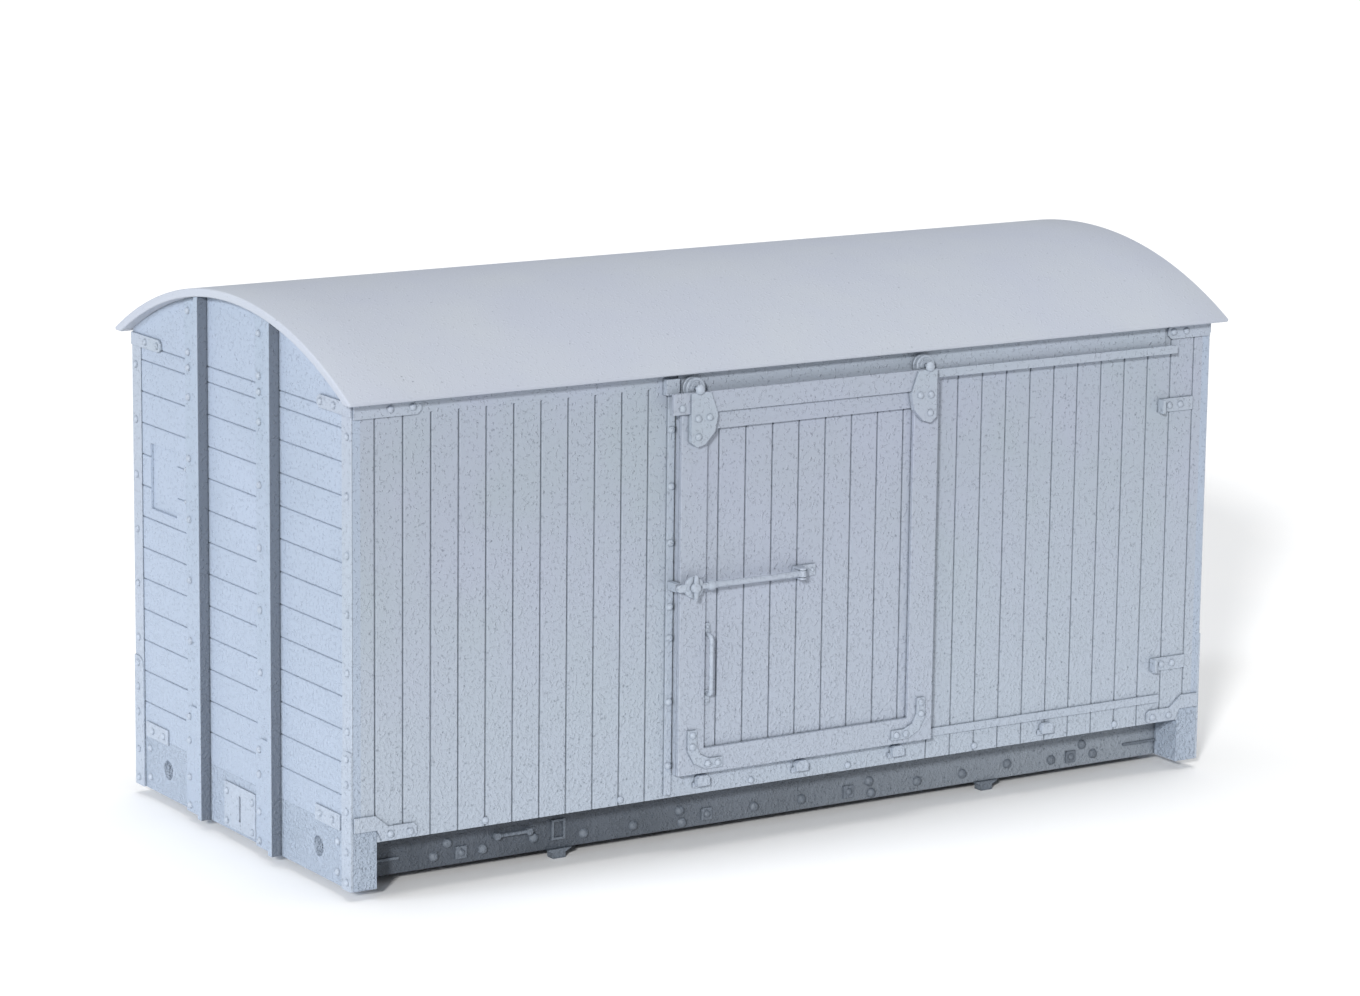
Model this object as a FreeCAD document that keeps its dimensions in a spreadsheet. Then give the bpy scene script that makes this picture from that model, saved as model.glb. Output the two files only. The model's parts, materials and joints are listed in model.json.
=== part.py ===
"""Model box car body: a plank-sided goods van in 7 mm scale, built up from its separate pieces.

Row frame: +X along the van, -Y is the front side, +Z up, origin under the middle of the van at the
level of the feet that it stands on.  Each side and each end is the same set of pieces, so the back
side and the right-hand end are the front side and the left-hand end turned half a turn about Z.
"""
import FreeCAD, Part
import Sketcher
import math
import os

DOC = FreeCAD.newDocument("box_car")
SHEET = DOC.addObject("Spreadsheet::Sheet", "Sizes")
PARTS = []

# Driving dimensions in millimetres.  Heights are measured from the underside of the headstocks.
DIMENSIONS = {
    # overall body
    "body_length": 122.5,
    "body_width": 56.4,
    "end_thickness": 1.0,
    "side_thickness": 1.2,
    "skirt_height": 5.55,
    "floor_thickness": 1.2,
    # underframe
    "frame_height": 7.04,
    "headstock_depth": 3.1,
    "solebar_inset": 4.5,
    "solebar_web": 0.9,
    "solebar_flange": 2.4,
    "flange_thickness": 0.7,
    "buffer_spacing": 39.3,
    "buffer_height": 3.5,
    "buffer_hole_radius": 1.2,
    "slot_width": 0.5,
    "slot_height": 3.2,
    "foot_drop": 1.15,
    "foot_width": 1.7,
    "foot_depth": 1.4,
    "foot_place": 31.3,
    # roof
    "side_top": 57.35,
    "roof_radius": 58.5,
    "roof_thickness": 1.05,
    "eave_overhang": 2.0,
    "end_overhang": 1.5,
    # planking
    "side_plank": 3.64,
    "end_plank": 3.9,
    "door_plank": 3.78,
    "groove_width": 0.26,
    "groove_depth": 0.24,
    "first_groove": 2.87,
    "last_groove": 2.35,
    # end stanchions
    "stanchion_web": 1.0,
    "stanchion_depth": 1.35,
    "stanchion_flange": 5.5,
    "stanchion_plate": 0.3,
    "stanchion_left": 7.95,
    "stanchion_right": 10.5,
    "strap_height": 13.4,
    "strap_thickness": 0.25,
    # corner irons and plates on the end
    "corner_width": 2.3,
    "corner_plate": 0.15,
    "corner_strap_height": 16.5,
    "cleat_length": 8.0,
    "cleat_height": 1.55,
    "plate_thickness": 0.22,
    "hatch_gap": 3.05,
    "hatch_height": 8.15,
    "hatch_edge": 4.6,
    "hatch_base": 35.7,
    # fastener heads
    "bolt_radius": 0.45,
    "bolt_height": 0.36,
    "frame_bolt_radius": 0.62,
    "frame_bolt_height": 0.48,
    "rivet_radius": 0.27,
    "rivet_height": 0.2,
    # sliding door
    "door_width": 36.8,
    "door_base": 8.45,
    "door_top": 53.3,
    "door_gap": 0.35,
    "panel_thickness": 0.75,
    "frame_thickness": 0.6,
    "stile_width": 3.6,
    "top_rail_base": 50.15,
    "bottom_rail_top": 11.5,
    "door_lap": 1.9,
    "door_headroom": 0.2,
    "bar_height": 2.53,
    "bar_clearance": 0.12,
    "bar_thickness": 0.5,
    "bar_tail": 1.5,
    "bar_set_back": 0.55,
    "hanger_plate": 0.3,
    "stop_inset": 7.85,
    "stop_leg": 1.2,
    "stop_plate": 0.25,
    "stop_length": 5.4,
    "stop_height": 1.7,
    "stop_clearance": 0.1,
    # door gear
    "roller_inset": 1.95,
    "flange_depth": 0.65,
    "roller_tread": 0.6,
    "flange_width": 0.25,
    "pin_radius": 0.25,
    "running_clearance": 0.03,
    "side_clearance": 0.05,
    "rail_thickness": 0.4,
    "rail_web": 0.25,
    "rail_height": 1.05,
    "hood_base": 54.9,
    "hood_sheet": 0.25,
    "guide_base": 8.3,
    "guide_height": 1.0,
    "guide_thickness": 0.3,
    "post_width": 0.95,
    "post_thickness": 0.3,
    # latch and handle
    "latch_height": 31.6,
    "latch_pivot": 1.7,
    "latch_stand_off": 1.5,
    "latch_eye_inset": 1.3,
    "latch_eye_radius": 1.3,
    "latch_eye_thickness": 0.45,
    "latch_tongue_width": 0.9,
    "latch_rod_radius": 0.38,
    "barrel_radius": 0.5,
    "barrel_height": 0.8,
    "ear_thickness": 0.25,
    "key_span": 3.1,
    "handle_gap": 0.55,
    "handle_radius": 0.27,
    "handle_stand_off": 1.15,
    "handle_top": 25.3,
    "handle_base": 18.1,
}


class Size:
    """A length that carries its present value and the sheet expression it comes from."""

    def __init__(self, value, text):
        self.value = float(value)
        self.text = text

    def joined(self, other, sign, result, swapped=False):
        other_text = other.text if isinstance(other, Size) else repr(float(other))
        pair = (other_text, self.text) if swapped else (self.text, other_text)
        return Size(result, "(" + pair[0] + " " + sign + " " + pair[1] + ")")

    def __add__(self, other):
        return self.joined(other, "+", self.value + number(other))

    def __radd__(self, other):
        return self.joined(other, "+", number(other) + self.value, True)

    def __sub__(self, other):
        return self.joined(other, "-", self.value - number(other))

    def __rsub__(self, other):
        return self.joined(other, "-", number(other) - self.value, True)

    def __mul__(self, other):
        return self.joined(other, "*", self.value * number(other))

    def __rmul__(self, other):
        return self.joined(other, "*", number(other) * self.value, True)

    def __truediv__(self, other):
        return self.joined(other, "/", self.value / number(other))

    def __neg__(self):
        return Size(-self.value, "(0 - " + self.text + ")")


def number(size):
    """The plain value of a Size or of a number."""
    return size.value if isinstance(size, Size) else float(size)


def root(size):
    """Square root of a Size."""
    return Size(math.sqrt(size.value), "sqrt(" + size.text + ")")


def fill_sheet():
    """Write every driving dimension to the sheet, one row each, with its name as the alias."""
    for row, (name, value) in enumerate(DIMENSIONS.items(), start=1):
        SHEET.set("A" + str(row), name)
        SHEET.set("B" + str(row), str(value))
        SHEET.setAlias("B" + str(row), name)
    DOC.recompute()


def dim(name):
    """The Size of one named cell."""
    return Size(SHEET.get(name), "Sizes." + name)


def drive(item, prop, size):
    """Bind a property of an object to a Size, or set it to a plain number."""
    if isinstance(size, Size):
        item.setExpression(prop, size.text)
    elif prop.startswith("Placement.Base."):
        setattr(item.Placement.Base, prop[-1], float(size))
    else:
        setattr(item, prop, float(size))


# ---------------------------------------------------------------- sketches and features

def new_body(name):
    return DOC.addObject("PartDesign::Body", name)


def plane_of(body, role):
    return next(item for item in body.Origin.OriginFeatures if item.Role == role)


def new_sketch(body, role, offset=0.0):
    """A sketch on one of the body's origin planes, moved along that plane's normal."""
    sketch = body.newObject("Sketcher::SketchObject", body.Name + "_sketch")
    sketch.AttachmentSupport = [(plane_of(body, role), "")]
    sketch.MapMode = "FlatFace"
    if isinstance(offset, Size):
        sketch.setExpression("AttachmentOffset.Base.z", offset.text)
    return sketch


def pin_point(sketch, geometry, vertex, x, y):
    """Hold one point of the sketch at x, y from the sketch's origin."""
    for kind, size in (("DistanceX", x), ("DistanceY", y)):
        rule = Sketcher.Constraint(kind, -1, 1, geometry, vertex, number(size))
        index = sketch.addConstraint(rule)
        if isinstance(size, Size):
            sketch.setExpression("Constraints[" + str(index) + "]", size.text)


def outline(sketch, corners):
    """A closed outline of straight edges through the given corners."""
    first = sketch.GeometryCount
    count = len(corners)
    places = [FreeCAD.Vector(number(x), number(y), 0) for x, y in corners]
    for index in range(count):
        sketch.addGeometry(Part.LineSegment(places[index], places[(index + 1) % count]), False)
    for index in range(count):
        following = first + (index + 1) % count
        sketch.addConstraint(Sketcher.Constraint("Coincident", first + index, 2, following, 1))
    for index, (x, y) in enumerate(corners):
        pin_point(sketch, first + index, 1, x, y)


def rectangle(sketch, left, right, low, high):
    outline(sketch, [(left, low), (right, low), (right, high), (left, high)])


def circle(sketch, x, y, radius):
    """A circle with its centre and radius both held."""
    centre = FreeCAD.Vector(number(x), number(y), 0)
    index = sketch.addGeometry(Part.Circle(centre, FreeCAD.Vector(0, 0, 1), number(radius)), False)
    pin_point(sketch, index, 3, x, y)
    rule = sketch.addConstraint(Sketcher.Constraint("Radius", index, number(radius)))
    if isinstance(radius, Size):
        sketch.setExpression("Constraints[" + str(rule) + "]", radius.text)


def arch(sketch, half_width, centre_height, radius):
    """An arc over the centre line from +half_width to -half_width; returns its geometry index."""
    reach = math.asin(number(half_width) / number(radius))
    full = Part.Circle(FreeCAD.Vector(0, number(centre_height), 0), FreeCAD.Vector(0, 0, 1), number(radius))
    arc = Part.ArcOfCircle(full, math.pi / 2 - reach, math.pi / 2 + reach)
    index = sketch.addGeometry(arc, False)
    pin_point(sketch, index, 3, 0.0, centre_height)
    rule = sketch.addConstraint(Sketcher.Constraint("Radius", index, number(radius)))
    sketch.setExpression("Constraints[" + str(rule) + "]", radius.text)
    return index


def pad(body, sketch, length, back=False):
    """Pad a sketch along its plane's normal, or against it."""
    feature = body.newObject("PartDesign::Pad", body.Name + "_pad")
    feature.Profile = sketch
    drive(feature, "Length", length)
    feature.Reversed = back
    body.Tip = feature
    return feature


def pocket(body, sketch, depth, back=False):
    """Cut a sketch into the solid against its plane's normal, or along it."""
    feature = body.newObject("PartDesign::Pocket", body.Name + "_pocket")
    feature.Profile = sketch
    drive(feature, "Length", depth)
    feature.Reversed = back
    body.Tip = feature
    return feature


def repeat(body, feature, axis_role, spacing, count):
    """Repeat a feature along one of the body's origin axes."""
    pattern = body.newObject("PartDesign::LinearPattern", body.Name + "_row")
    pattern.Originals = [feature]
    pattern.Direction = (plane_of(body, axis_role), [""])
    drive(pattern, "Length", spacing * (count - 1))
    pattern.Occurrences = count
    body.Tip = pattern
    return pattern


# ---------------------------------------------------------------- finished sub-parts

def keep(item, label, height=0.0):
    """Give a sub-part its label and stand it on its feet."""
    item.Label = label
    drive(item, "Placement.Base.z", dim("foot_drop") + height)
    PARTS.append(item)
    return item


def turned(item, label):
    """The same piece on the other side or end: half a turn about Z."""
    copy = DOC.addObject("Part::Compound", "turned_" + item.Name)
    copy.Links = [item]
    half_turn = FreeCAD.Rotation(FreeCAD.Vector(0, 0, 1), 180)
    copy.Placement = FreeCAD.Placement(FreeCAD.Vector(0, 0, 0), half_turn)
    copy.Label = label
    PARTS.append(copy)
    return copy


def group(name, members, label):
    """Separate solids that share one node."""
    item = DOC.addObject("Part::Compound", name)
    item.Links = members
    return keep(item, label)


FRONTWARDS = FreeCAD.Rotation(FreeCAD.Vector(1, 0, 0), 90)
ENDWARDS = FreeCAD.Rotation(FreeCAD.Vector(0, 1, 0), -90)


def dome(name, turn, place, radius, height):
    """A domed fastener head: the cap of a sphere whose flat base rests on a face."""
    ball = (radius * radius + height * height) / (2 * height)
    depth = ball - height
    head = DOC.addObject("Part::Sphere", name)
    head.Placement = FreeCAD.Placement(FreeCAD.Vector(0, 0, 0), turn)
    drive(head, "Radius", ball)
    head.setExpression("Angle1", "asin(" + (depth / ball).text + ")")
    x, y, z = place
    if turn is FRONTWARDS:
        y = y + depth
    else:
        x = x + depth
    drive(head, "Placement.Base.x", x)
    drive(head, "Placement.Base.y", y)
    drive(head, "Placement.Base.z", z)
    return head


def rod(name, turn, place, radius, length):
    """A round bar that starts at place and runs outward along turn."""
    bar = DOC.addObject("Part::Cylinder", name)
    bar.Placement = FreeCAD.Placement(FreeCAD.Vector(0, 0, 0), turn)
    drive(bar, "Radius", radius)
    drive(bar, "Height", length)
    for axis, size in zip("xyz", place):
        drive(bar, "Placement.Base." + axis, size)
    return bar


def block(name, place, spans):
    """A box from its lowest corner and its three lengths."""
    box = DOC.addObject("Part::Box", name)
    for prop, size in zip(("Length", "Width", "Height"), spans):
        drive(box, prop, size)
    for axis, size in zip("xyz", place):
        drive(box, "Placement.Base." + axis, size)
    return box


def fused(name, members):
    item = DOC.addObject("Part::MultiFuse", name)
    item.Shapes = members
    return item


def cut(name, base, tool):
    item = DOC.addObject("Part::Cut", name)
    item.Base = base
    item.Tool = tool
    return item


# ---------------------------------------------------------------- shared places

fill_sheet()

HALF_LENGTH = dim("body_length") / 2
HALF_WIDTH = dim("body_width") / 2
INNER_HALF = HALF_LENGTH - dim("end_thickness")
FRAME_TOP = dim("frame_height")
SIDE_TOP = dim("side_top")
UNDER_ROOF = dim("roof_radius") - dim("roof_thickness")
ROOF_CENTRE = SIDE_TOP - root(UNDER_ROOF * UNDER_ROOF - HALF_WIDTH * HALF_WIDTH)
ROOF_CROWN = ROOF_CENTRE + dim("roof_radius")
EAVE_BASE = SIDE_TOP - 0.35
SOLEBAR_FACE = HALF_WIDTH - dim("solebar_inset")
DOOR_HALF = dim("door_width") / 2
DOOR_BACK = HALF_WIDTH + dim("door_gap")
PANEL_FACE = DOOR_BACK + dim("panel_thickness")
FRAME_FACE = PANEL_FACE + dim("frame_thickness")
BAR_FACE = FRAME_FACE + dim("bar_thickness")
HANGER_FACE = BAR_FACE + dim("hanger_plate")
RAIL_FACE = FRAME_FACE - dim("flange_width") - 3 * dim("side_clearance")
RAIL_BASE = dim("door_top") + dim("door_headroom")
RAIL_TOP = RAIL_BASE + dim("rail_height")
AXLE = RAIL_TOP + dim("side_clearance") + dim("roller_tread")
FLANGE_RADIUS = dim("roller_tread") + dim("side_clearance") + dim("flange_depth")
ROLLER_PLACE = DOOR_HALF - dim("roller_inset")
ROLLER_BACK = RAIL_FACE - dim("rail_thickness") - dim("side_clearance") - dim("flange_width")
BAR_TOP = AXLE - dim("pin_radius") - dim("bar_clearance")
BAR_BASE = BAR_TOP - dim("bar_height")
EYE_PLACE = DOOR_HALF - dim("latch_eye_inset")
HANDLE_PLACE = DOOR_HALF - dim("stile_width") - dim("handle_gap")
STOP_PLACE = HALF_LENGTH - dim("stop_inset")
TRAVEL = STOP_PLACE - DOOR_HALF - dim("stop_clearance")
END_BOLT = (dim("bolt_radius"), dim("bolt_height"))
FRAME_BOLT = (dim("frame_bolt_radius"), dim("frame_bolt_height"))
RIVET = (dim("rivet_radius"), dim("rivet_height"))


# ---------------------------------------------------------------- underframe and body

def make_floor():
    body = new_body("floor")
    sketch = new_sketch(body, "XY_Plane", FRAME_TOP)
    half = HALF_WIDTH - dim("side_thickness")
    rectangle(sketch, -INNER_HALF, INNER_HALF, -half, half)
    pad(body, sketch, dim("floor_thickness"))
    keep(body, "floor")


def make_headstock():
    """Solid end beam, bored for two buffers and slotted for the coupling hook."""
    body = new_body("headstock")
    sketch = new_sketch(body, "YZ_Plane", -HALF_LENGTH)
    rectangle(sketch, -HALF_WIDTH, HALF_WIDTH, 0.0, FRAME_TOP)
    pad(body, sketch, dim("headstock_depth"))
    holes = new_sketch(body, "YZ_Plane", -HALF_LENGTH)
    for side in (-1, 1):
        circle(holes, side * dim("buffer_spacing") / 2, dim("buffer_height"), dim("buffer_hole_radius"))
    slot_outline(holes)
    pocket(body, holes, dim("headstock_depth"), back=True)
    turned(keep(body, "headstock_left"), "headstock_right")


def slot_outline(sketch):
    """The upright coupling slot on the centre line."""
    half = dim("slot_width") / 2
    middle = dim("buffer_height") - 0.3
    low = middle - dim("slot_height") / 2
    rectangle(sketch, -half, half, low, low + dim("slot_height"))


def make_solebar():
    """Channel bar between the headstocks, its web outward."""
    body = new_body("solebar")
    reach = HALF_LENGTH - dim("headstock_depth")
    sketch = new_sketch(body, "YZ_Plane", -reach)
    face = -SOLEBAR_FACE
    web = face + dim("solebar_web")
    tip = face + dim("solebar_flange")
    low = dim("flange_thickness")
    high = FRAME_TOP - dim("flange_thickness")
    outline(sketch, [(face, 0.0), (tip, 0.0), (tip, low), (web, low),
                     (web, high), (tip, high), (tip, FRAME_TOP), (face, FRAME_TOP)])
    pad(body, sketch, 2 * reach)
    turned(keep(body, "solebar_front"), "solebar_back")


def make_solebar_fittings():
    """Feet, label clip, tie bar, washers and end ledges on the face of the solebar."""
    body = new_body("solebar_fittings")
    face = SOLEBAR_FACE
    foot = dim("foot_place")
    half = dim("foot_width") / 2
    drop = -dim("foot_drop")
    feet = new_sketch(body, "XZ_Plane", face + 0.4 - dim("foot_depth"))
    for side in (-1, 1):
        middle = side * foot
        outline(feet, [(middle - half - 0.9, 0.0), (middle - half, -0.45), (middle - half, drop),
                       (middle + half, drop), (middle + half, -0.45), (middle + half + 0.9, 0.0)])
    pad(body, feet, dim("foot_depth"))
    clip = new_sketch(body, "XZ_Plane", face)
    rectangle(clip, -foot - 0.95, -foot + 0.95, 1.1, 3.6)
    rectangle(clip, -foot - 0.65, -foot + 0.65, 1.4, 3.3)
    for place in square_washers():
        rectangle(clip, place - 0.75, place + 0.75, 0.65, 2.15)
    reach = HALF_LENGTH - dim("headstock_depth")
    rectangle(clip, -reach, -reach + 5.2, 1.75, 2.05)
    rectangle(clip, reach - 5.2, reach, 1.75, 2.05)
    pad(body, clip, dim("plate_thickness"))
    lug_left = rod("tie_lug_left", FRONTWARDS, (-foot - 8.6, -face, 2.75), 0.42, 0.75)
    lug_right = rod("tie_lug_right", FRONTWARDS, (-foot - 4.2, -face, 2.75), 0.42, 0.75)
    along = FreeCAD.Rotation(FreeCAD.Vector(0, 1, 0), 90)
    bar = rod("tie_rod", along, (-foot - 8.6, -face - 0.45, 2.75), 0.22, 4.4)
    tie = fused("tie_bar", [lug_left, lug_right, bar])
    turned(group("solebar_gear", [body, tie], "solebar_fittings_front"), "solebar_fittings_back")


def bolt_pitch():
    """Spacing of the solebar bolts, six to each half."""
    return (HALF_LENGTH - 19.65) / 6


def square_washers():
    """Places of the four bolts that stand on square washers."""
    pitch = bolt_pitch()
    outer = HALF_LENGTH - 16.65
    return [-outer, -1.5 * pitch, 1.5 * pitch, outer]


def make_solebar_bolts():
    """Dome heads along the solebar; the ones on washers stand further out."""
    face = -SOLEBAR_FACE
    pitch = bolt_pitch()
    low = 1.35
    heads = []
    for side in (-1, 1):
        spots = [(side * pitch * step, low) for step in (0.5, 3, 4, 6)]
        spots.append((side * pitch * 5, 1.75))
        spots.append((side * pitch * 2, 0.75))
        spots.append((side * pitch * 2 - 0.35, 2.3))
        spots.append((side * (HALF_LENGTH - 13.05), low))
        spots.append((side * (HALF_LENGTH - 14.85), 2.75))
        for x, z in spots:
            heads.append(dome("frame_bolt", FRONTWARDS, (x, face, z), *FRAME_BOLT))
    washer = face - dim("plate_thickness")
    for x in square_washers():
        heads.append(dome("washer_bolt", FRONTWARDS, (x, washer, 1.4), *END_BOLT))
    turned(group("solebar_heads", heads, "solebar_bolts_front"), "solebar_bolts_back")


def make_end_panel():
    """Horizontal planks under an arched top, with a shallow hatch recess."""
    body = new_body("end_panel")
    sketch = new_sketch(body, "YZ_Plane", -HALF_LENGTH)
    arc = arch(sketch, HALF_WIDTH, ROOF_CENTRE, UNDER_ROOF)
    low = FRAME_TOP.value
    high = SIDE_TOP.value
    wide = HALF_WIDTH.value
    corners = [(-wide, high), (-wide, low), (wide, low), (wide, high)]
    places = [FreeCAD.Vector(y, z, 0) for y, z in corners]
    for start, finish in zip(places, places[1:]):
        sketch.addGeometry(Part.LineSegment(start, finish), False)
    left, base, right = arc + 1, arc + 2, arc + 3
    for first, second in ((arc, left), (left, base), (base, right), (right, arc)):
        sketch.addConstraint(Sketcher.Constraint("Coincident", first, 2, second, 1))
    sketch.addConstraint(Sketcher.Constraint("Vertical", left))
    sketch.addConstraint(Sketcher.Constraint("Vertical", right))
    pin_point(sketch, base, 1, -HALF_WIDTH, FRAME_TOP)
    pin_point(sketch, base, 2, HALF_WIDTH, FRAME_TOP)
    pad(body, sketch, dim("end_thickness"))
    inside = HALF_WIDTH - dim("corner_width")
    half = dim("groove_width") / 2
    groove = new_sketch(body, "YZ_Plane", -HALF_LENGTH)
    first_line = FRAME_TOP + dim("end_plank")
    rectangle(groove, -inside, inside, first_line - half, first_line + half)
    cutter = pocket(body, groove, dim("groove_depth"), back=True)
    plank = dim("end_plank")
    count = int((SIDE_TOP.value - 2.0 - FRAME_TOP.value) / plank.value)
    repeat(body, cutter, "Z_Axis", plank, count)
    last = new_sketch(body, "YZ_Plane", -HALF_LENGTH)
    line = FRAME_TOP + plank * count + 1.9
    rectangle(last, -inside, inside, line - half, line + half)
    pocket(body, last, dim("groove_depth"), back=True)
    hatch = new_sketch(body, "YZ_Plane", -HALF_LENGTH)
    inner = dim("stanchion_left") + dim("stanchion_flange") + dim("hatch_gap")
    base_line = dim("hatch_base")
    rectangle(hatch, inner, HALF_WIDTH - dim("hatch_edge"), base_line, base_line + dim("hatch_height"))
    pocket(body, hatch, dim("groove_depth") + 0.08, back=True)
    turned(keep(body, "end_panel_left"), "end_panel_right")


def make_stanchion(name, web_face, label, far_label):
    """Angle-iron upright: flange against the planks, web standing out, strap at its foot."""
    body = new_body(name)
    face = -HALF_LENGTH
    tip = face - dim("stanchion_depth")
    plate = face - dim("stanchion_plate")
    edge = web_face + dim("stanchion_flange")
    root_line = web_face + dim("stanchion_web")
    sketch = new_sketch(body, "XY_Plane")
    outline(sketch, [(face, web_face), (tip, web_face), (tip, root_line),
                     (plate, root_line), (plate, edge), (face, edge)])
    pad(body, sketch, ROOF_CROWN)
    strap = new_sketch(body, "YZ_Plane", plate)
    top = dim("strap_height")
    left = root_line + 0.3
    outline(strap, [(left, 0.0), (edge, 0.0), (edge, top - 1.2), (edge - 0.5, top - 0.35),
                    (edge - 1.4, top), (left + 0.5, top), (left, top - 0.5)])
    pad(body, strap, dim("strap_thickness"), back=True)
    span = dim("end_overhang") + 6.0
    envelope = rod(name + "_roof_line", FreeCAD.Rotation(FreeCAD.Vector(0, 1, 0), 90),
                   (face - span / 2, 0.0, ROOF_CENTRE), UNDER_ROOF, span)
    trimmed = DOC.addObject("Part::Common", name + "_trimmed")
    trimmed.Base = body
    trimmed.Tool = envelope
    turned(keep(trimmed, label), far_label)


def make_corner_straps():
    """Flanges, foot straps and top cleats at the two corners of one end."""
    body = new_body("corner_straps")
    inner = HALF_WIDTH - dim("corner_width")
    flanges = new_sketch(body, "YZ_Plane", -HALF_LENGTH)
    straps = new_sketch(body, "YZ_Plane", -HALF_LENGTH)
    cleats = new_sketch(body, "YZ_Plane", -HALF_LENGTH)
    top = dim("corner_strap_height")
    cleat_base = EAVE_BASE - dim("cleat_height")
    for side in (-1, 1):
        edges = sorted((side * HALF_WIDTH, side * inner), key=number)
        rectangle(flanges, edges[0], edges[1], 0.0, EAVE_BASE)
        outline(straps, [(side * HALF_WIDTH, 0.0), (side * inner, 0.0), (side * inner, top - 1.0),
                         (side * (inner + 0.4), top - 0.3), (side * (inner + 1.1), top),
                         (side * HALF_WIDTH, top)])
        tip = HALF_WIDTH - dim("cleat_length")
        outline(cleats, [(side * HALF_WIDTH, cleat_base), (side * (tip + 0.6), cleat_base),
                         (side * tip, cleat_base + 0.4), (side * tip, EAVE_BASE - 0.4),
                         (side * (tip + 0.6), EAVE_BASE), (side * HALF_WIDTH, EAVE_BASE)])
    pad(body, flanges, dim("corner_plate"), back=True)
    pad(body, straps, dim("corner_plate") * 2, back=True)
    pad(body, cleats, dim("corner_plate") * 2, back=True)
    turned(keep(body, "corner_straps_left"), "corner_straps_right")


def make_headstock_plates():
    """Slotted coupling plate and the two tie plates across the joint above the headstock."""
    body = new_body("headstock_plates")
    sketch = new_sketch(body, "YZ_Plane", -HALF_LENGTH)
    rectangle(sketch, -4.05, 4.05, 0.45, 5.95)
    slot_outline(sketch)
    for side in (-1, 1):
        edges = sorted((side * (HALF_WIDTH - 8.9), side * (HALF_WIDTH - 2.9)), key=number)
        rectangle(sketch, edges[0], edges[1], FRAME_TOP - 0.35, FRAME_TOP + 1.55)
    pad(body, sketch, dim("plate_thickness"), back=True)
    turned(keep(body, "headstock_plates_left"), "headstock_plates_right")


def make_end_bolts():
    """Every dome head on one end."""
    face = -HALF_LENGTH
    heads = []

    def add(x, y, z, kind=END_BOLT):
        heads.append(dome("end_bolt", ENDWARDS, (x, y, z), *kind))

    flange_face = face - dim("stanchion_plate")
    strap_face = flange_face - dim("strap_thickness")
    corner_face = face - dim("corner_plate")
    corner_strap_face = face - dim("corner_plate") * 2
    outer_line = dim("stanchion_left") + 4.55
    top_height = ROOF_CENTRE + root(UNDER_ROOF * UNDER_ROOF - outer_line * outer_line) - 1.55
    for web_face in (dim("stanchion_left"), -dim("stanchion_right")):
        line = web_face + 4.55
        for step in range(5):
            add(flange_face, line, FRAME_TOP + 14.3 + 7.5 * step)
        for height in (EAVE_BASE - 0.2, EAVE_BASE - 2.1, top_height):
            add(flange_face, line, height)
        for height in (0.85, 4.4, 9.0, 12.0):
            add(strap_face, line, height)
    for side in (-1, 1):
        line = side * (HALF_WIDTH - 1.0)
        for step in range(6):
            add(corner_face, line, FRAME_TOP + 11.8 + 6.85 * step)
        for height in (1.0, 4.6, 9.4, 12.6, 15.6):
            add(corner_strap_face, line, height)
        for inset in (3.9, 7.1):
            add(corner_strap_face, side * (HALF_WIDTH - inset), EAVE_BASE - dim("cleat_height") / 2)
        for inset in (4.7, 7.7):
            add(face - dim("plate_thickness"), side * (HALF_WIDTH - inset), FRAME_TOP + 0.55)
        for height in (1.55, 5.2):
            add(face, side * (HALF_WIDTH - 3.7), height)
            add(face - dim("plate_thickness"), side * 3.3, height - 0.4)
    for height in (38.2, 42.2):
        add(face, dim("stanchion_left") + dim("stanchion_flange") + 0.6, height, RIVET)
    turned(group("end_heads", heads, "end_bolts_left"), "end_bolts_right")


def make_side_panel():
    """Vertical planks with a doorway and a notch over each headstock end."""
    body = new_body("side_panel")
    inside = HALF_WIDTH - dim("side_thickness")
    sketch = new_sketch(body, "XZ_Plane", inside)
    notch = HALF_LENGTH - dim("headstock_depth")
    skirt = dim("skirt_height")
    outline(sketch, [(-INNER_HALF, FRAME_TOP), (-notch, FRAME_TOP), (-notch, skirt), (notch, skirt),
                     (notch, FRAME_TOP), (INNER_HALF, FRAME_TOP), (INNER_HALF, SIDE_TOP),
                     (-INNER_HALF, SIDE_TOP)])
    lap = dim("door_lap")
    rectangle(sketch, lap - DOOR_HALF, DOOR_HALF - lap, dim("door_base") + lap, dim("door_top") - lap)
    pad(body, sketch, dim("side_thickness"))
    pitch = dim("side_plank")
    half = dim("groove_width") / 2
    free = HALF_LENGTH.value - dim("door_width").value / 2
    for sign, inset, margin in ((-1, dim("first_groove"), 1.0), (1, dim("last_groove"), -3.0)):
        count = int((free - inset.value - margin) / pitch.value) + 1
        nearest = sign * (HALF_LENGTH - inset)
        if sign > 0:
            nearest = nearest - pitch * (count - 1)
        groove = new_sketch(body, "XZ_Plane", HALF_WIDTH)
        rectangle(groove, nearest - half, nearest + half, skirt - 0.5, SIDE_TOP - 2.2)
        cutter = pocket(body, groove, dim("groove_depth"))
        repeat(body, cutter, "X_Axis", pitch, count)
    turned(keep(body, "side_panel_front"), "side_panel_back")


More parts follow.
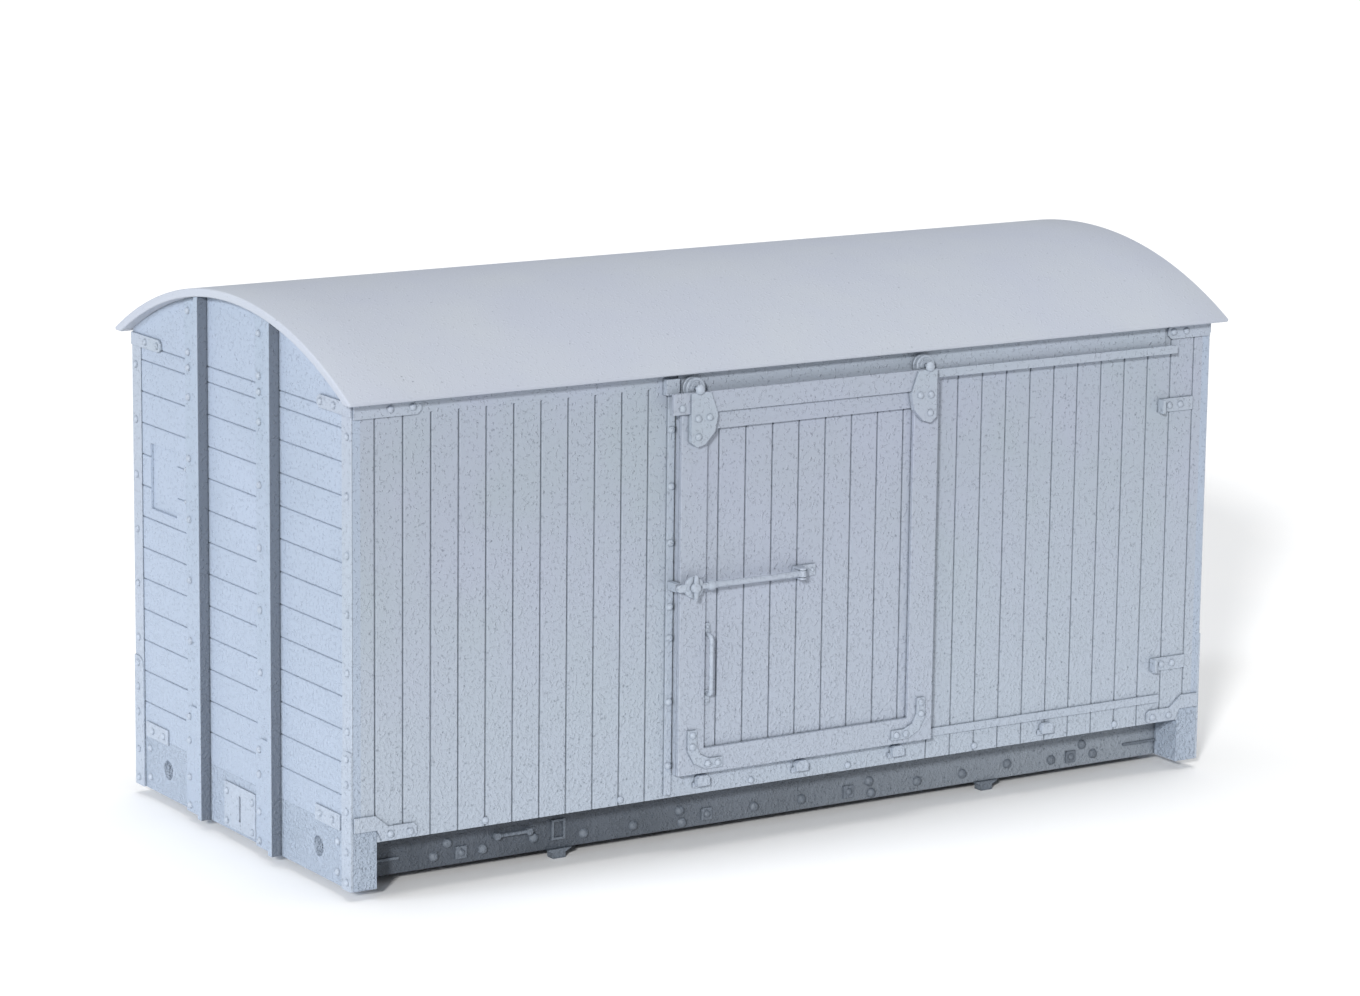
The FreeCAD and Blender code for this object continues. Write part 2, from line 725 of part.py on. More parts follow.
def make_side_straps():
    """Cleats under the eaves and cranked straps over the headstock ends."""
    body = new_body("side_straps")
    sketch = new_sketch(body, "XZ_Plane", HALF_WIDTH)
    end = HALF_LENGTH - 0.05
    top = EAVE_BASE
    low = EAVE_BASE - 1.85
    notch = HALF_LENGTH - dim("headstock_depth")
    skirt = dim("skirt_height")
    for side in (-1, 1):
        tip = HALF_LENGTH - (8.75 if side < 0 else 6.7)
        outline(sketch, [(side * end, low), (side * (tip + 0.5), low), (side * tip, low + 0.5),
                         (side * tip, top - 0.5), (side * (tip + 0.5), top), (side * end, top)])
        foot = HALF_LENGTH - 8.2
        outline(sketch, [(side * (foot + 0.4), skirt + 0.1), (side * (notch - 0.6), skirt + 0.1),
                         (side * (notch + 0.1), FRAME_TOP), (side * end, FRAME_TOP),
                         (side * end, FRAME_TOP + 1.75), (side * (notch + 0.4), FRAME_TOP + 1.75),
                         (side * (notch - 1.4), FRAME_TOP + 0.3), (side * (foot + 0.4), FRAME_TOP + 0.3),
                         (side * foot, FRAME_TOP - 0.1), (side * foot, skirt + 0.5)])
    pad(body, sketch, dim("post_thickness"))
    turned(keep(body, "side_straps_front"), "side_straps_back")


def make_door_post():
    """Strip that the closed door meets, with the end block of the track hood at its head."""
    body = new_body("door_post")
    left = -DOOR_HALF - dim("post_width") - 0.1
    right = left + dim("post_width")
    strip = new_sketch(body, "XZ_Plane", HALF_WIDTH)
    rectangle(strip, left, right, dim("skirt_height") + 0.4, dim("hood_base"))
    pad(body, strip, dim("post_thickness"))
    head = new_sketch(body, "XZ_Plane", HALF_WIDTH)
    rectangle(head, left - 0.6, right + 0.25, dim("hood_base") - 0.4, EAVE_BASE - 0.6)
    pad(body, head, dim("post_thickness") * 3)
    turned(keep(body, "door_post_front"), "door_post_back")


def make_door_stops():
    """Two angle stops that end the door's travel."""
    body = new_body("door_stops")
    face = -HALF_WIDTH
    leg = face - dim("stop_leg")
    for base in (12.4, 45.9):
        sketch = new_sketch(body, "XY_Plane", Size(base, str(base)))
        outline(sketch, [(STOP_PLACE, face), (STOP_PLACE, leg), (STOP_PLACE + 0.4, leg),
                         (STOP_PLACE + 0.4, face - dim("stop_plate")),
                         (STOP_PLACE + dim("stop_length"), face - dim("stop_plate")),
                         (STOP_PLACE + dim("stop_length"), face)])
        pad(body, sketch, dim("stop_height"))
    turned(keep(body, "door_stops_front"), "door_stops_back")


def make_track_rail():
    """Angle rail: an upright blade that the rollers straddle and a web back to the side."""
    body = new_body("track_rail")
    start = -DOOR_HALF + 0.3
    sketch = new_sketch(body, "YZ_Plane", start)
    face = -RAIL_FACE
    back = face + dim("rail_thickness")
    base = RAIL_BASE
    outline(sketch, [(face, base), (-HALF_WIDTH, base), (-HALF_WIDTH, base + dim("rail_web")),
                     (back, base + dim("rail_web")), (back, RAIL_TOP), (face, RAIL_TOP)])
    pad(body, sketch, STOP_PLACE + 1.9 - start)
    turned(keep(body, "track_rail_front"), "track_rail_back")


def make_track_hood():
    """Sloping weather strip between the eave and the rail."""
    body = new_body("track_hood")
    start = -DOOR_HALF + 0.3
    sketch = new_sketch(body, "YZ_Plane", start)
    face = -HALF_WIDTH
    lip = 3 * dim("side_clearance") - ROLLER_BACK
    base = RAIL_BASE + dim("rail_web") + 2 * dim("side_clearance")
    sheet = dim("hood_sheet")
    outline(sketch, [(face, EAVE_BASE), (face - 0.2, EAVE_BASE), (lip, base + 0.3), (lip, base),
                     (lip + sheet, base), (face, EAVE_BASE - 0.9)])
    pad(body, sketch, STOP_PLACE + 0.6 - start)
    turned(keep(body, "track_hood_front"), "track_hood_back")


def make_guide_rail():
    """Lower strip that the foot of the door runs past."""
    body = new_body("guide_rail")
    sketch = new_sketch(body, "XZ_Plane", HALF_WIDTH)
    low = dim("guide_base")
    rectangle(sketch, -DOOR_HALF + 0.5, STOP_PLACE + 1.5, low, low + dim("guide_height"))
    pad(body, sketch, dim("guide_thickness"))
    turned(keep(body, "guide_rail_front"), "guide_rail_back")


def make_guide_clips():
    """Four clips below the door that keep its foot from swinging out."""
    body = new_body("guide_clips")
    base = new_sketch(body, "XZ_Plane", HALF_WIDTH)
    nose = new_sketch(body, "XZ_Plane", HALF_WIDTH)
    spread = DOOR_HALF - 4.2
    for middle in (-spread, Size(0.0, "0"), spread, STOP_PLACE - 16.4):
        rectangle(base, middle - 1.15, middle + 1.15, 6.35, 7.0)
        outline(nose, [(middle - 0.85, 6.6), (middle + 0.85, 6.6), (middle + 0.85, 7.55),
                       (middle + 0.5, 7.9), (middle - 0.5, 7.9), (middle - 0.85, 7.55)])
    pad(body, base, dim("post_thickness"))
    pad(body, nose, dim("post_thickness") * 3)
    turned(keep(body, "guide_clips_front"), "guide_clips_back")


def make_side_bolts():
    """Every fixed dome head on one side."""
    face = -HALF_WIDTH
    heads = []

    def add(x, y, z, kind=END_BOLT):
        heads.append(dome("side_bolt", FRONTWARDS, (x, y, z), *kind))

    strap_face = face - dim("post_thickness")
    post_line = -DOOR_HALF - 0.1 - dim("post_width") / 2
    for height in (9.6, 17.4, 25.2, 29.0, 36.7, 43.5, 50.3):
        add(post_line, strap_face, height)
    skirt_line = dim("skirt_height") + 0.65
    for x in (-HALF_LENGTH + 17.4, -DOOR_HALF - 7.0, -DOOR_HALF + 11.5, DOOR_HALF - 11.2,
              DOOR_HALF + 7.8, HALF_LENGTH - 13.2):
        add(x, face, skirt_line)
    for side, insets in ((-1, (4.7, 7.6)), (1, (3.9, 5.9))):
        for inset in insets:
            add(side * (HALF_LENGTH - inset), strap_face, EAVE_BASE - 0.95)
        for inset in (4.7, 7.3):
            add(side * (HALF_LENGTH - inset), strap_face, skirt_line + 0.2)
    for base in (12.4, 45.9):
        for reach in (1.7, 3.4):
            add(STOP_PLACE + reach, face - dim("stop_plate"), base + 0.85)
    turned(group("side_heads", heads, "side_bolts_front"), "side_bolts_back")


def make_staple():
    """Lug on the post that the tongue of the latch laps over."""
    body = new_body("latch_staple")
    right = -DOOR_HALF - 0.2
    middle = dim("latch_height")
    base = new_sketch(body, "XZ_Plane", HALF_WIDTH + dim("post_thickness"))
    rectangle(base, right - 0.75, right, middle - 0.5, middle + 0.5)
    reach = BAR_FACE - HALF_WIDTH - dim("post_thickness") - 0.1
    pad(body, base, reach)
    turned(keep(body, "latch_staple_front"), "latch_staple_back")


def make_roof():
    """Plain arched shell that overhangs the ends and the sides, its eaves cut level below."""
    body = new_body("roof")
    start = HALF_LENGTH + dim("end_overhang")
    sketch = new_sketch(body, "YZ_Plane", -start)
    half = HALF_WIDTH + dim("eave_overhang")
    outer = arch(sketch, half, ROOF_CENTRE, dim("roof_radius"))
    inner = arch(sketch, half, ROOF_CENTRE, UNDER_ROOF)
    for vertex in (1, 2):
        ends = [sketch.getPoint(index, vertex) for index in (outer, inner)]
        line = sketch.addGeometry(Part.LineSegment(ends[0], ends[1]), False)
        sketch.addConstraint(Sketcher.Constraint("Coincident", outer, vertex, line, 1))
        sketch.addConstraint(Sketcher.Constraint("Coincident", inner, vertex, line, 2))
        sketch.addConstraint(Sketcher.Constraint("Vertical", line))
        side = half if vertex == 1 else -half
        rule = sketch.addConstraint(Sketcher.Constraint("DistanceX", -1, 1, line, 1, side.value))
        sketch.setExpression("Constraints[" + str(rule) + "]", side.text)
    pad(body, sketch, 2 * start)
    eaves = new_sketch(body, "YZ_Plane", -start)
    low = EAVE_BASE - 2.0
    rectangle(eaves, -half - 1.0, -HALF_WIDTH, low, EAVE_BASE)
    rectangle(eaves, HALF_WIDTH, half + 1.0, low, EAVE_BASE)
    pocket(body, eaves, 2 * start, back=True)
    keep(body, "roof")


# ---------------------------------------------------------------- sliding door

def make_door_panel():
    """Vertical planks that close the doorway."""
    body = new_body("door_panel")
    sketch = new_sketch(body, "XZ_Plane", DOOR_BACK)
    rectangle(sketch, -DOOR_HALF, DOOR_HALF, dim("door_base"), dim("door_top"))
    pad(body, sketch, dim("panel_thickness"))
    pitch = dim("door_plank")
    opening = dim("door_width").value - 2 * dim("stile_width").value
    count = int((opening - 1.2) / pitch.value) + 1
    half = dim("groove_width") / 2
    first = -DOOR_HALF + dim("stile_width") + 2.0
    groove = new_sketch(body, "XZ_Plane", PANEL_FACE)
    rectangle(groove, first - half, first + half, dim("bottom_rail_top"), dim("top_rail_base"))
    cutter = pocket(body, groove, dim("groove_depth"))
    repeat(body, cutter, "X_Axis", pitch, count)
    turned(keep(body, "door_panel_front"), "door_panel_back")


def make_door_frame():
    """Stiles and rails round the panel, with the hanger bar across the head."""
    body = new_body("door_frame")
    ring = new_sketch(body, "XZ_Plane", PANEL_FACE)
    rectangle(ring, -DOOR_HALF, DOOR_HALF, dim("door_base"), dim("door_top"))
    inner = DOOR_HALF - dim("stile_width")
    rectangle(ring, -inner, inner, dim("bottom_rail_top"), dim("top_rail_base"))
    pad(body, ring, dim("frame_thickness"))
    bar = new_sketch(body, "XZ_Plane", FRAME_FACE)
    tail = -DOOR_HALF - dim("bar_tail")
    rectangle(bar, tail, DOOR_HALF - dim("bar_set_back"), BAR_BASE, BAR_TOP)
    pad(body, bar, dim("bar_thickness"))
    turned(keep(body, "door_frame_front"), "door_frame_back")


def make_door_irons():
    """Roller hangers, bottom corner irons and the latch bracket."""
    body = new_body("door_irons")
    place = ROLLER_PLACE
    tail = BAR_BASE
    backing = new_sketch(body, "XZ_Plane", FRAME_FACE)
    plates = new_sketch(body, "XZ_Plane", BAR_FACE)
    irons = new_sketch(body, "XZ_Plane", FRAME_FACE)
    axle = AXLE
    shoulder = BAR_TOP - 0.1
    outer = DOOR_HALF - 0.85
    corner = dim("door_base")
    for side in (-1, 1):
        lower = [(side * outer, tail), (side * outer, tail - 3.4), (side * (outer - 0.85), tail - 4.0),
                 (side * (outer - 1.9), tail - 3.7), (side * (outer - 3.25), tail - 2.3),
                 (side * (outer - 3.65), tail - 0.4), (side * (outer - 3.6), tail)]
        outline(backing, lower)
        neck = [(side * (outer - 2.7), shoulder), (side * (place - 0.45), shoulder + 0.15),
                (side * (place - 0.45), axle + 0.2), (side * (place - 0.25), axle + 0.45),
                (side * (place + 0.25), axle + 0.45), (side * (place + 0.45), axle + 0.2),
                (side * (place + 0.45), shoulder + 0.15), (side * outer, shoulder)]
        outline(plates, lower[1:] + neck)
        circle(plates, side * place, axle, dim("pin_radius"))
        outline(irons, [(side * (DOOR_HALF - 1.2), corner + 5.5), (side * (DOOR_HALF - 2.4), corner + 5.5),
                        (side * (DOOR_HALF - 2.4), corner + 3.5), (side * (DOOR_HALF - 3.0), corner + 2.4),
                        (side * (DOOR_HALF - 4.2), corner + 1.8), (side * (DOOR_HALF - 6.1), corner + 1.8),
                        (side * (DOOR_HALF - 6.1), corner + 0.6), (side * (DOOR_HALF - 3.7), corner + 0.6),
                        (side * (DOOR_HALF - 2.1), corner + 1.4), (side * (DOOR_HALF - 1.2), corner + 3.0)])
    pad(body, backing, dim("bar_thickness"))
    pad(body, plates, dim("hanger_plate"))
    pad(body, irons, dim("hanger_plate"))
    bracket = make_latch_bracket()
    turned(group("door_ironwork", [body, bracket], "door_irons_front"), "door_irons_back")


def make_latch_bracket():
    """Plate with two ears and the pin that the latch bar swings on."""
    body = new_body("latch_bracket")
    pivot = -dim("latch_pivot")
    middle = dim("latch_height")
    ear = dim("ear_thickness")
    gap = dim("side_clearance")
    axis_line = -PANEL_FACE - dim("latch_stand_off")
    half = dim("barrel_height") / 2 + gap
    plate = new_sketch(body, "XZ_Plane", PANEL_FACE)
    rectangle(plate, pivot - 0.5, pivot + 2.7, middle - half - ear, middle + half + ear)
    pad(body, plate, dim("hanger_plate"))
    for base in (middle - half - ear, middle + half):
        ears = new_sketch(body, "XY_Plane", base)
        outline(ears, [(pivot - 0.45, -PANEL_FACE), (pivot - 0.45, axis_line - 0.2),
                       (pivot - 0.2, axis_line - 0.45), (pivot + 0.2, axis_line - 0.45),
                       (pivot + 0.45, axis_line - 0.2), (pivot + 0.9, -PANEL_FACE)])
        pad(body, ears, ear)
    pin = new_sketch(body, "XY_Plane", middle - half - ear)
    circle(pin, pivot, axis_line, dim("pin_radius") - 0.05)
    pad(body, pin, 2 * (half + ear))
    return body


def make_door_bolts():
    """Dome heads on the door, with the two roller pins."""
    heads = []

    def add(x, face, z, kind=END_BOLT):
        heads.append(dome("door_bolt", FRONTWARDS, (x, -face, z), *kind))

    outer = DOOR_HALF - 0.85
    tail = BAR_BASE
    corner = dim("door_base")
    iron_face = FRAME_FACE + dim("hanger_plate")
    for side in (-1, 1):
        add(side * (outer - 0.9), HANGER_FACE, tail - 0.55)
        add(side * (outer - 2.45), HANGER_FACE, tail - 0.5)
        add(side * (outer - 0.95), HANGER_FACE, tail - 2.75)
        for inset, rise in ((1.8, 4.9), (1.8, 3.5), (4.0, 1.2), (5.4, 1.2)):
            add(side * (DOOR_HALF - inset), iron_face, corner + rise)
        pin = rod("roller_pin_shaft", FRONTWARDS,
                  (side * ROLLER_PLACE, -RAIL_FACE + dim("rail_thickness") + 0.25, AXLE),
                  dim("pin_radius"), HANGER_FACE - RAIL_FACE + dim("rail_thickness") + 0.25)
        cap = dome("roller_pin_head", FRONTWARDS,
                   (side * ROLLER_PLACE, -HANGER_FACE, AXLE), *FRAME_BOLT)
        heads.append(fused("roller_pin", [pin, cap]))
    add(-DOOR_HALF - 0.3, BAR_FACE, tail + 0.75)
    plate_face = PANEL_FACE + dim("hanger_plate")
    for step in (0.95, 1.6, 2.25):
        add(step - dim("latch_pivot"), plate_face, dim("latch_height"), RIVET)
    foot_face = PANEL_FACE + dim("plate_thickness")
    for height in (dim("handle_top") + 0.95, dim("handle_base") - 0.95):
        add(-HANDLE_PLACE, foot_face, height, RIVET)
    turned(group("door_heads", heads, "door_bolts_front"), "door_bolts_back")


def make_grab_handle():
    """Bent rod with a flat foot at each end."""
    body = new_body("grab_handle")
    line = HANDLE_PLACE
    top = dim("handle_top")
    low = dim("handle_base")
    root_line = -PANEL_FACE
    out = root_line - dim("handle_stand_off")
    bend = 0.4
    spine = new_sketch(body, "YZ_Plane", -line)
    near, far = root_line.value, out.value
    high, base = top.value, low.value
    upper = Part.Circle(FreeCAD.Vector(far + bend, high - bend, 0), FreeCAD.Vector(0, 0, 1), bend)
    lower = Part.Circle(FreeCAD.Vector(far + bend, base + bend, 0), FreeCAD.Vector(0, 0, 1), bend)
    runs = [Part.LineSegment(FreeCAD.Vector(near, high, 0), FreeCAD.Vector(far + bend, high, 0)),
            Part.ArcOfCircle(upper, math.pi / 2, math.pi),
            Part.LineSegment(FreeCAD.Vector(far, high - bend, 0), FreeCAD.Vector(far, base + bend, 0)),
            Part.ArcOfCircle(lower, math.pi, 1.5 * math.pi),
            Part.LineSegment(FreeCAD.Vector(far + bend, base, 0), FreeCAD.Vector(near, base, 0))]
    for run in runs:
        spine.addGeometry(run, False)
    for first, end, second, start in ((0, 2, 1, 1), (1, 2, 2, 1), (2, 2, 3, 1), (3, 2, 4, 1)):
        spine.addConstraint(Sketcher.Constraint("Tangent", first, end, second, start))
    for arc in (1, 3):
        spine.addConstraint(Sketcher.Constraint("Radius", arc, bend))
    spine.addConstraint(Sketcher.Constraint("Horizontal", 0))
    spine.addConstraint(Sketcher.Constraint("Horizontal", 4))
    pin_point(spine, 0, 1, root_line, top)
    pin_point(spine, 4, 2, root_line, low)
    rule = spine.addConstraint(Sketcher.Constraint("DistanceX", -1, 1, 2, 1, far))
    spine.setExpression("Constraints[" + str(rule) + "]", out.text)
    section = new_sketch(body, "XZ_Plane", PANEL_FACE)
    circle(section, -line, top, dim("handle_radius"))
    DOC.recompute()
    pipe = body.newObject("PartDesign::AdditivePipe", "grab_rod")
    pipe.Profile = section
    pipe.Spine = (spine, ["Edge" + str(index + 1) for index in range(5)])
    body.Tip = pipe
    feet = new_sketch(body, "XZ_Plane", PANEL_FACE)
    rectangle(feet, -line - 0.42, -line + 0.42, top - 0.45, top + 1.4)
    rectangle(feet, -line - 0.42, -line + 0.42, low - 1.4, low + 0.45)
    pad(body, feet, dim("plate_thickness"))
    turned(keep(body, "grab_handle_front"), "grab_handle_back")


def make_rollers():
    """Flanged rollers whose groove straddles the rail; one body each, turned about Y."""
    groove_back = RAIL_FACE - dim("rail_thickness") - dim("side_clearance")
    groove_front = RAIL_FACE + dim("side_clearance")
    front = groove_front + dim("flange_width")
    bore = dim("pin_radius") + dim("running_clearance")
    for side, mark in ((-1, "leading"), (1, "trailing")):
        body = new_body("roller_" + mark)
        sketch = new_sketch(body, "XY_Plane")
        outline(sketch, [(bore, -ROLLER_BACK), (FLANGE_RADIUS, -ROLLER_BACK),
                         (FLANGE_RADIUS, -groove_back), (dim("roller_tread"), -groove_back),
                         (dim("roller_tread"), -groove_front), (FLANGE_RADIUS, -groove_front),
                         (FLANGE_RADIUS, -front), (bore, -front)])
        wheel = body.newObject("PartDesign::Revolution", body.Name + "_wheel")
        wheel.Profile = sketch
        wheel.ReferenceAxis = (sketch, ["V_Axis"])
        wheel.Angle = 360
        body.Tip = wheel
        drive(body, "Placement.Base.x", side * ROLLER_PLACE)
        keep(body, "roller_front_" + mark, AXLE)
        turned(body, "roller_back_" + mark)


def make_latch_bar():
    """Round bar from the hinge barrel to a flat eye, whose tongue laps the staple."""
    middle = dim("latch_height")
    axis_line = -PANEL_FACE - dim("latch_stand_off")
    pivot = -dim("latch_pivot")
    eye_place = -EYE_PLACE
    upright = FreeCAD.Rotation()
    barrel = rod("latch_barrel", upright, (pivot, axis_line, middle - dim("barrel_height") / 2),
                 dim("barrel_radius"), dim("barrel_height"))
    towards_eye = FreeCAD.Rotation(FreeCAD.Vector(0, 1, 0), -90)
    reach = EYE_PLACE - dim("latch_pivot") - dim("latch_eye_radius") + 0.3
    bar = rod("latch_rod", towards_eye, (pivot, axis_line, middle), dim("latch_rod_radius"), reach)
    eye_back = axis_line + dim("latch_eye_thickness") / 2
    eye = rod("latch_eye", FRONTWARDS, (eye_place, eye_back, middle),
              dim("latch_eye_radius"), dim("latch_eye_thickness"))
    collar = rod("latch_collar", towards_eye, (eye_place + dim("key_span") / 2 + 0.9, axis_line, middle),
                 dim("latch_rod_radius") + 0.2, 0.7)
    half = dim("latch_tongue_width") / 2
    tip_place = -DOOR_HALF - 0.2 - half
    tongue = block("latch_tongue", (tip_place, eye_back - dim("latch_eye_thickness"), middle - half),
                   (eye_place - tip_place, dim("latch_eye_thickness"), 2 * half))
    tip = rod("latch_tip", FRONTWARDS, (tip_place, eye_back, middle), half, dim("latch_eye_thickness"))
    solid = fused("latch_solid", [barrel, bar, eye, collar, tongue, tip])
    bore = rod("latch_bore", upright, (pivot, axis_line, middle - dim("barrel_height")),
               dim("pin_radius") - 0.05 + dim("running_clearance"), 2 * dim("barrel_height"))
    key_hole = rod("latch_key_hole", FRONTWARDS, (eye_place, eye_back + 1.0, middle),
                   dim("pin_radius") + dim("running_clearance"), 3.0)
    bar_cut = cut("latch_bar", solid, fused("latch_holes", [bore, key_hole]))
    turned(keep(bar_cut, "latch_bar_front"), "latch_bar_back")


def make_latch_key():
    """T-headed key in the latch eye."""
    middle = dim("latch_height")
    axis_line = PANEL_FACE + dim("latch_stand_off")
    place = -EYE_PLACE
    eye_front = axis_line + dim("latch_eye_thickness") / 2
    eye_back = axis_line - dim("latch_eye_thickness") / 2
    head = eye_front + dim("side_clearance")
    shank = rod("key_shank", FRONTWARDS, (place, -eye_back, middle), dim("pin_radius"), head - eye_back)
    boss = rod("key_boss", FRONTWARDS, (place, -head, middle), 0.62, 0.65)
    body = new_body("key_tee")
    tee = new_sketch(body, "XZ_Plane", head + 0.15)
    half = dim("key_span") / 2
    outline(tee, [(place - 0.22, middle - half + 0.2), (place, middle - half),
                  (place + 0.22, middle - half + 0.2),
                  (place + 0.32, middle), (place + 0.22, middle + half - 0.2), (place, middle + half),
                  (place - 0.22, middle + half - 0.2), (place - 0.32, middle)])
    pad(body, tee, 0.35)
    turned(keep(fused("latch_key", [shank, boss, body]), "latch_key_front"), "latch_key_back")


# ---------------------------------------------------------------- build, check and write

def build_all():
    make_floor()
    make_headstock()
    make_solebar()
    make_solebar_fittings()
    make_solebar_bolts()
    make_end_panel()
    make_stanchion("stanchion_outer", dim("stanchion_left"), "end_stanchion_left_outer",
                   "end_stanchion_right_outer")
    make_stanchion("stanchion_inner", -dim("stanchion_right"), "end_stanchion_left_inner",
                   "end_stanchion_right_inner")
    make_corner_straps()
    make_headstock_plates()
    make_end_bolts()
    make_side_panel()
    make_side_straps()
    make_door_post()
    make_door_stops()
    make_track_rail()
    make_track_hood()
    make_guide_rail()
    make_guide_clips()
    make_side_bolts()
    make_staple()
    make_roof()
    make_door_panel()
    make_door_frame()
    make_door_irons()
    make_door_bolts()
    make_grab_handle()
    make_rollers()
    make_latch_bar()
    make_latch_key()
    DOC.recompute()


def check_all():
    """Stop if any object failed or any sub-part has no valid shape."""
    failed = [item.Label for item in DOC.Objects if {"Invalid", "Error"} & set(item.State)]
    bad = [item.Label for item in PARTS if item.Shape.isNull() or not item.Shape.isValid()]
    if failed or bad:
        raise RuntimeError("failed: " + ", ".join(failed) + "; no valid shape: " + ", ".join(bad))


def write_all():
    os.makedirs("parts", exist_ok=True)
    for item in PARTS:
        item.Shape.exportStep("parts/" + item.Label + ".step")
    print("sub-parts", len(PARTS), "travel of the door", round(TRAVEL.value, 3))


build_all()
check_all()
write_all()
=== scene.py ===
"""Visual model of a plank-sided goods van body in moulded styrene.

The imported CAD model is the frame: every piece made here stands in the place of a CAD node, or is
that node with a finish and softened edges.  All lengths handed to Blender are in metres, and the
sizes in the classes are in millimetres.
"""

import json
import logging
import math
from dataclasses import dataclass
from enum import Enum
from typing import Callable, Iterable, Sequence

import bmesh
import bpy
from mathutils import Matrix, Vector

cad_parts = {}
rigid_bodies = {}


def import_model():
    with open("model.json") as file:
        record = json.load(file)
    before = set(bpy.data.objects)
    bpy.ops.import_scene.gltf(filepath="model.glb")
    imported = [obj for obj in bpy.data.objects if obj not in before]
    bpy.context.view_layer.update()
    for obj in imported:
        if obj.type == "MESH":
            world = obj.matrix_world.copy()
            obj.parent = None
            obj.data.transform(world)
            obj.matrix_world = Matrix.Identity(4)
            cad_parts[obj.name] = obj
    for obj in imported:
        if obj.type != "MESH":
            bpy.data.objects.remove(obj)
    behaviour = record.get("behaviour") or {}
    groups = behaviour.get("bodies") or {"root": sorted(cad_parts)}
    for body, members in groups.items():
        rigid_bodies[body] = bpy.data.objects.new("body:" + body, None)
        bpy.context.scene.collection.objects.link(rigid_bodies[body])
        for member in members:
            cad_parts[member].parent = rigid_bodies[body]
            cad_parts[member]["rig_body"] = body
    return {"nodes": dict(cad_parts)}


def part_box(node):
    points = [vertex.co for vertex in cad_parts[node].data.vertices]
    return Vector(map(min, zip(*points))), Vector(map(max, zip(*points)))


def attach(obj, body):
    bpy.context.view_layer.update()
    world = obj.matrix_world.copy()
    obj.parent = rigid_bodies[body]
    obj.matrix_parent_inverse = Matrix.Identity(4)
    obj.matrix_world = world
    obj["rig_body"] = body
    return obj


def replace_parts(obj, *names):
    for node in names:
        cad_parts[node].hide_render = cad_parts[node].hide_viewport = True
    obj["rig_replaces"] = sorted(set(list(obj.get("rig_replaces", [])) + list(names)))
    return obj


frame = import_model()

LOG = logging.getLogger("box_car")
MM = 0.001
REST_HEIGHT = 1.15  # mm from the feet up to the level that the body's heights are counted from
Point2 = tuple[float, float]
Socket = bpy.types.NodeSocket
Tree = bpy.types.NodeTree


# ---------------------------------------------------------------- named options

class Side(Enum):
    """The two long sides; the back is the front turned half a turn about Z."""

    FRONT = "front"
    BACK = "back"

    @property
    def turned(self) -> bool:
        """Whether pieces modelled for the front have to be turned."""
        return self is Side.BACK


class End(Enum):
    """The two ends; the right one is the left one turned half a turn about Z."""

    LEFT = "left"
    RIGHT = "right"

    @property
    def turned(self) -> bool:
        """Whether pieces modelled for the left end have to be turned."""
        return self is End.RIGHT


class Facing(Enum):
    """Which way the outer face of a piece looks before any turn."""

    FRONT = "front"
    LEFT = "left"

    def place(self, across: float, up: float, out: float) -> Vector:
        """Row-frame point in metres.

        Args:
            across: distance along the face, in mm (X on the front, Y on the left end).
            up: height in mm.
            out: distance from the middle of the van to the point, in mm.

        Returns:
            The point as a vector in metres.
        """
        if self is Facing.FRONT:
            return Vector((across, -out, up)) * MM
        return Vector((-out, across, up)) * MM


# ---------------------------------------------------------------- finishes

def srgb(code: str) -> tuple[float, float, float, float]:
    """Converts an sRGB hex colour to the linear values that a shader takes.

    Args:
        code: six hex digits with a leading hash.

    Returns:
        Linear red, green, blue and alpha.
    """
    def linear(channel: float) -> float:
        """One channel, from its coded value to a linear one."""
        return channel / 12.92 if channel <= 0.04045 else ((channel + 0.055) / 1.055) ** 2.4

    red, green, blue = (int(code[index:index + 2], 16) / 255 for index in (1, 3, 5))
    return linear(red), linear(green), linear(blue), 1.0


def add_node(tree: Tree, kind: str, settings: dict | None = None,
             links: dict | None = None) -> bpy.types.Node:
    """Adds one shader node.

    Args:
        tree: node tree that takes the node.
        kind: Blender's node type name.
        settings: attribute or input name to value; inputs are tried when no attribute has the name.
        links: input name or index to the output socket that feeds it.

    Returns:
        The new node.
    """
    node = tree.nodes.new(kind)
    for name, value in (settings or {}).items():
        if isinstance(name, str) and hasattr(node, name):
            setattr(node, name, value)
        else:
            node.inputs[name].default_value = value
    for name, socket in (links or {}).items():
        tree.links.new(socket, node.inputs[name])
    return node


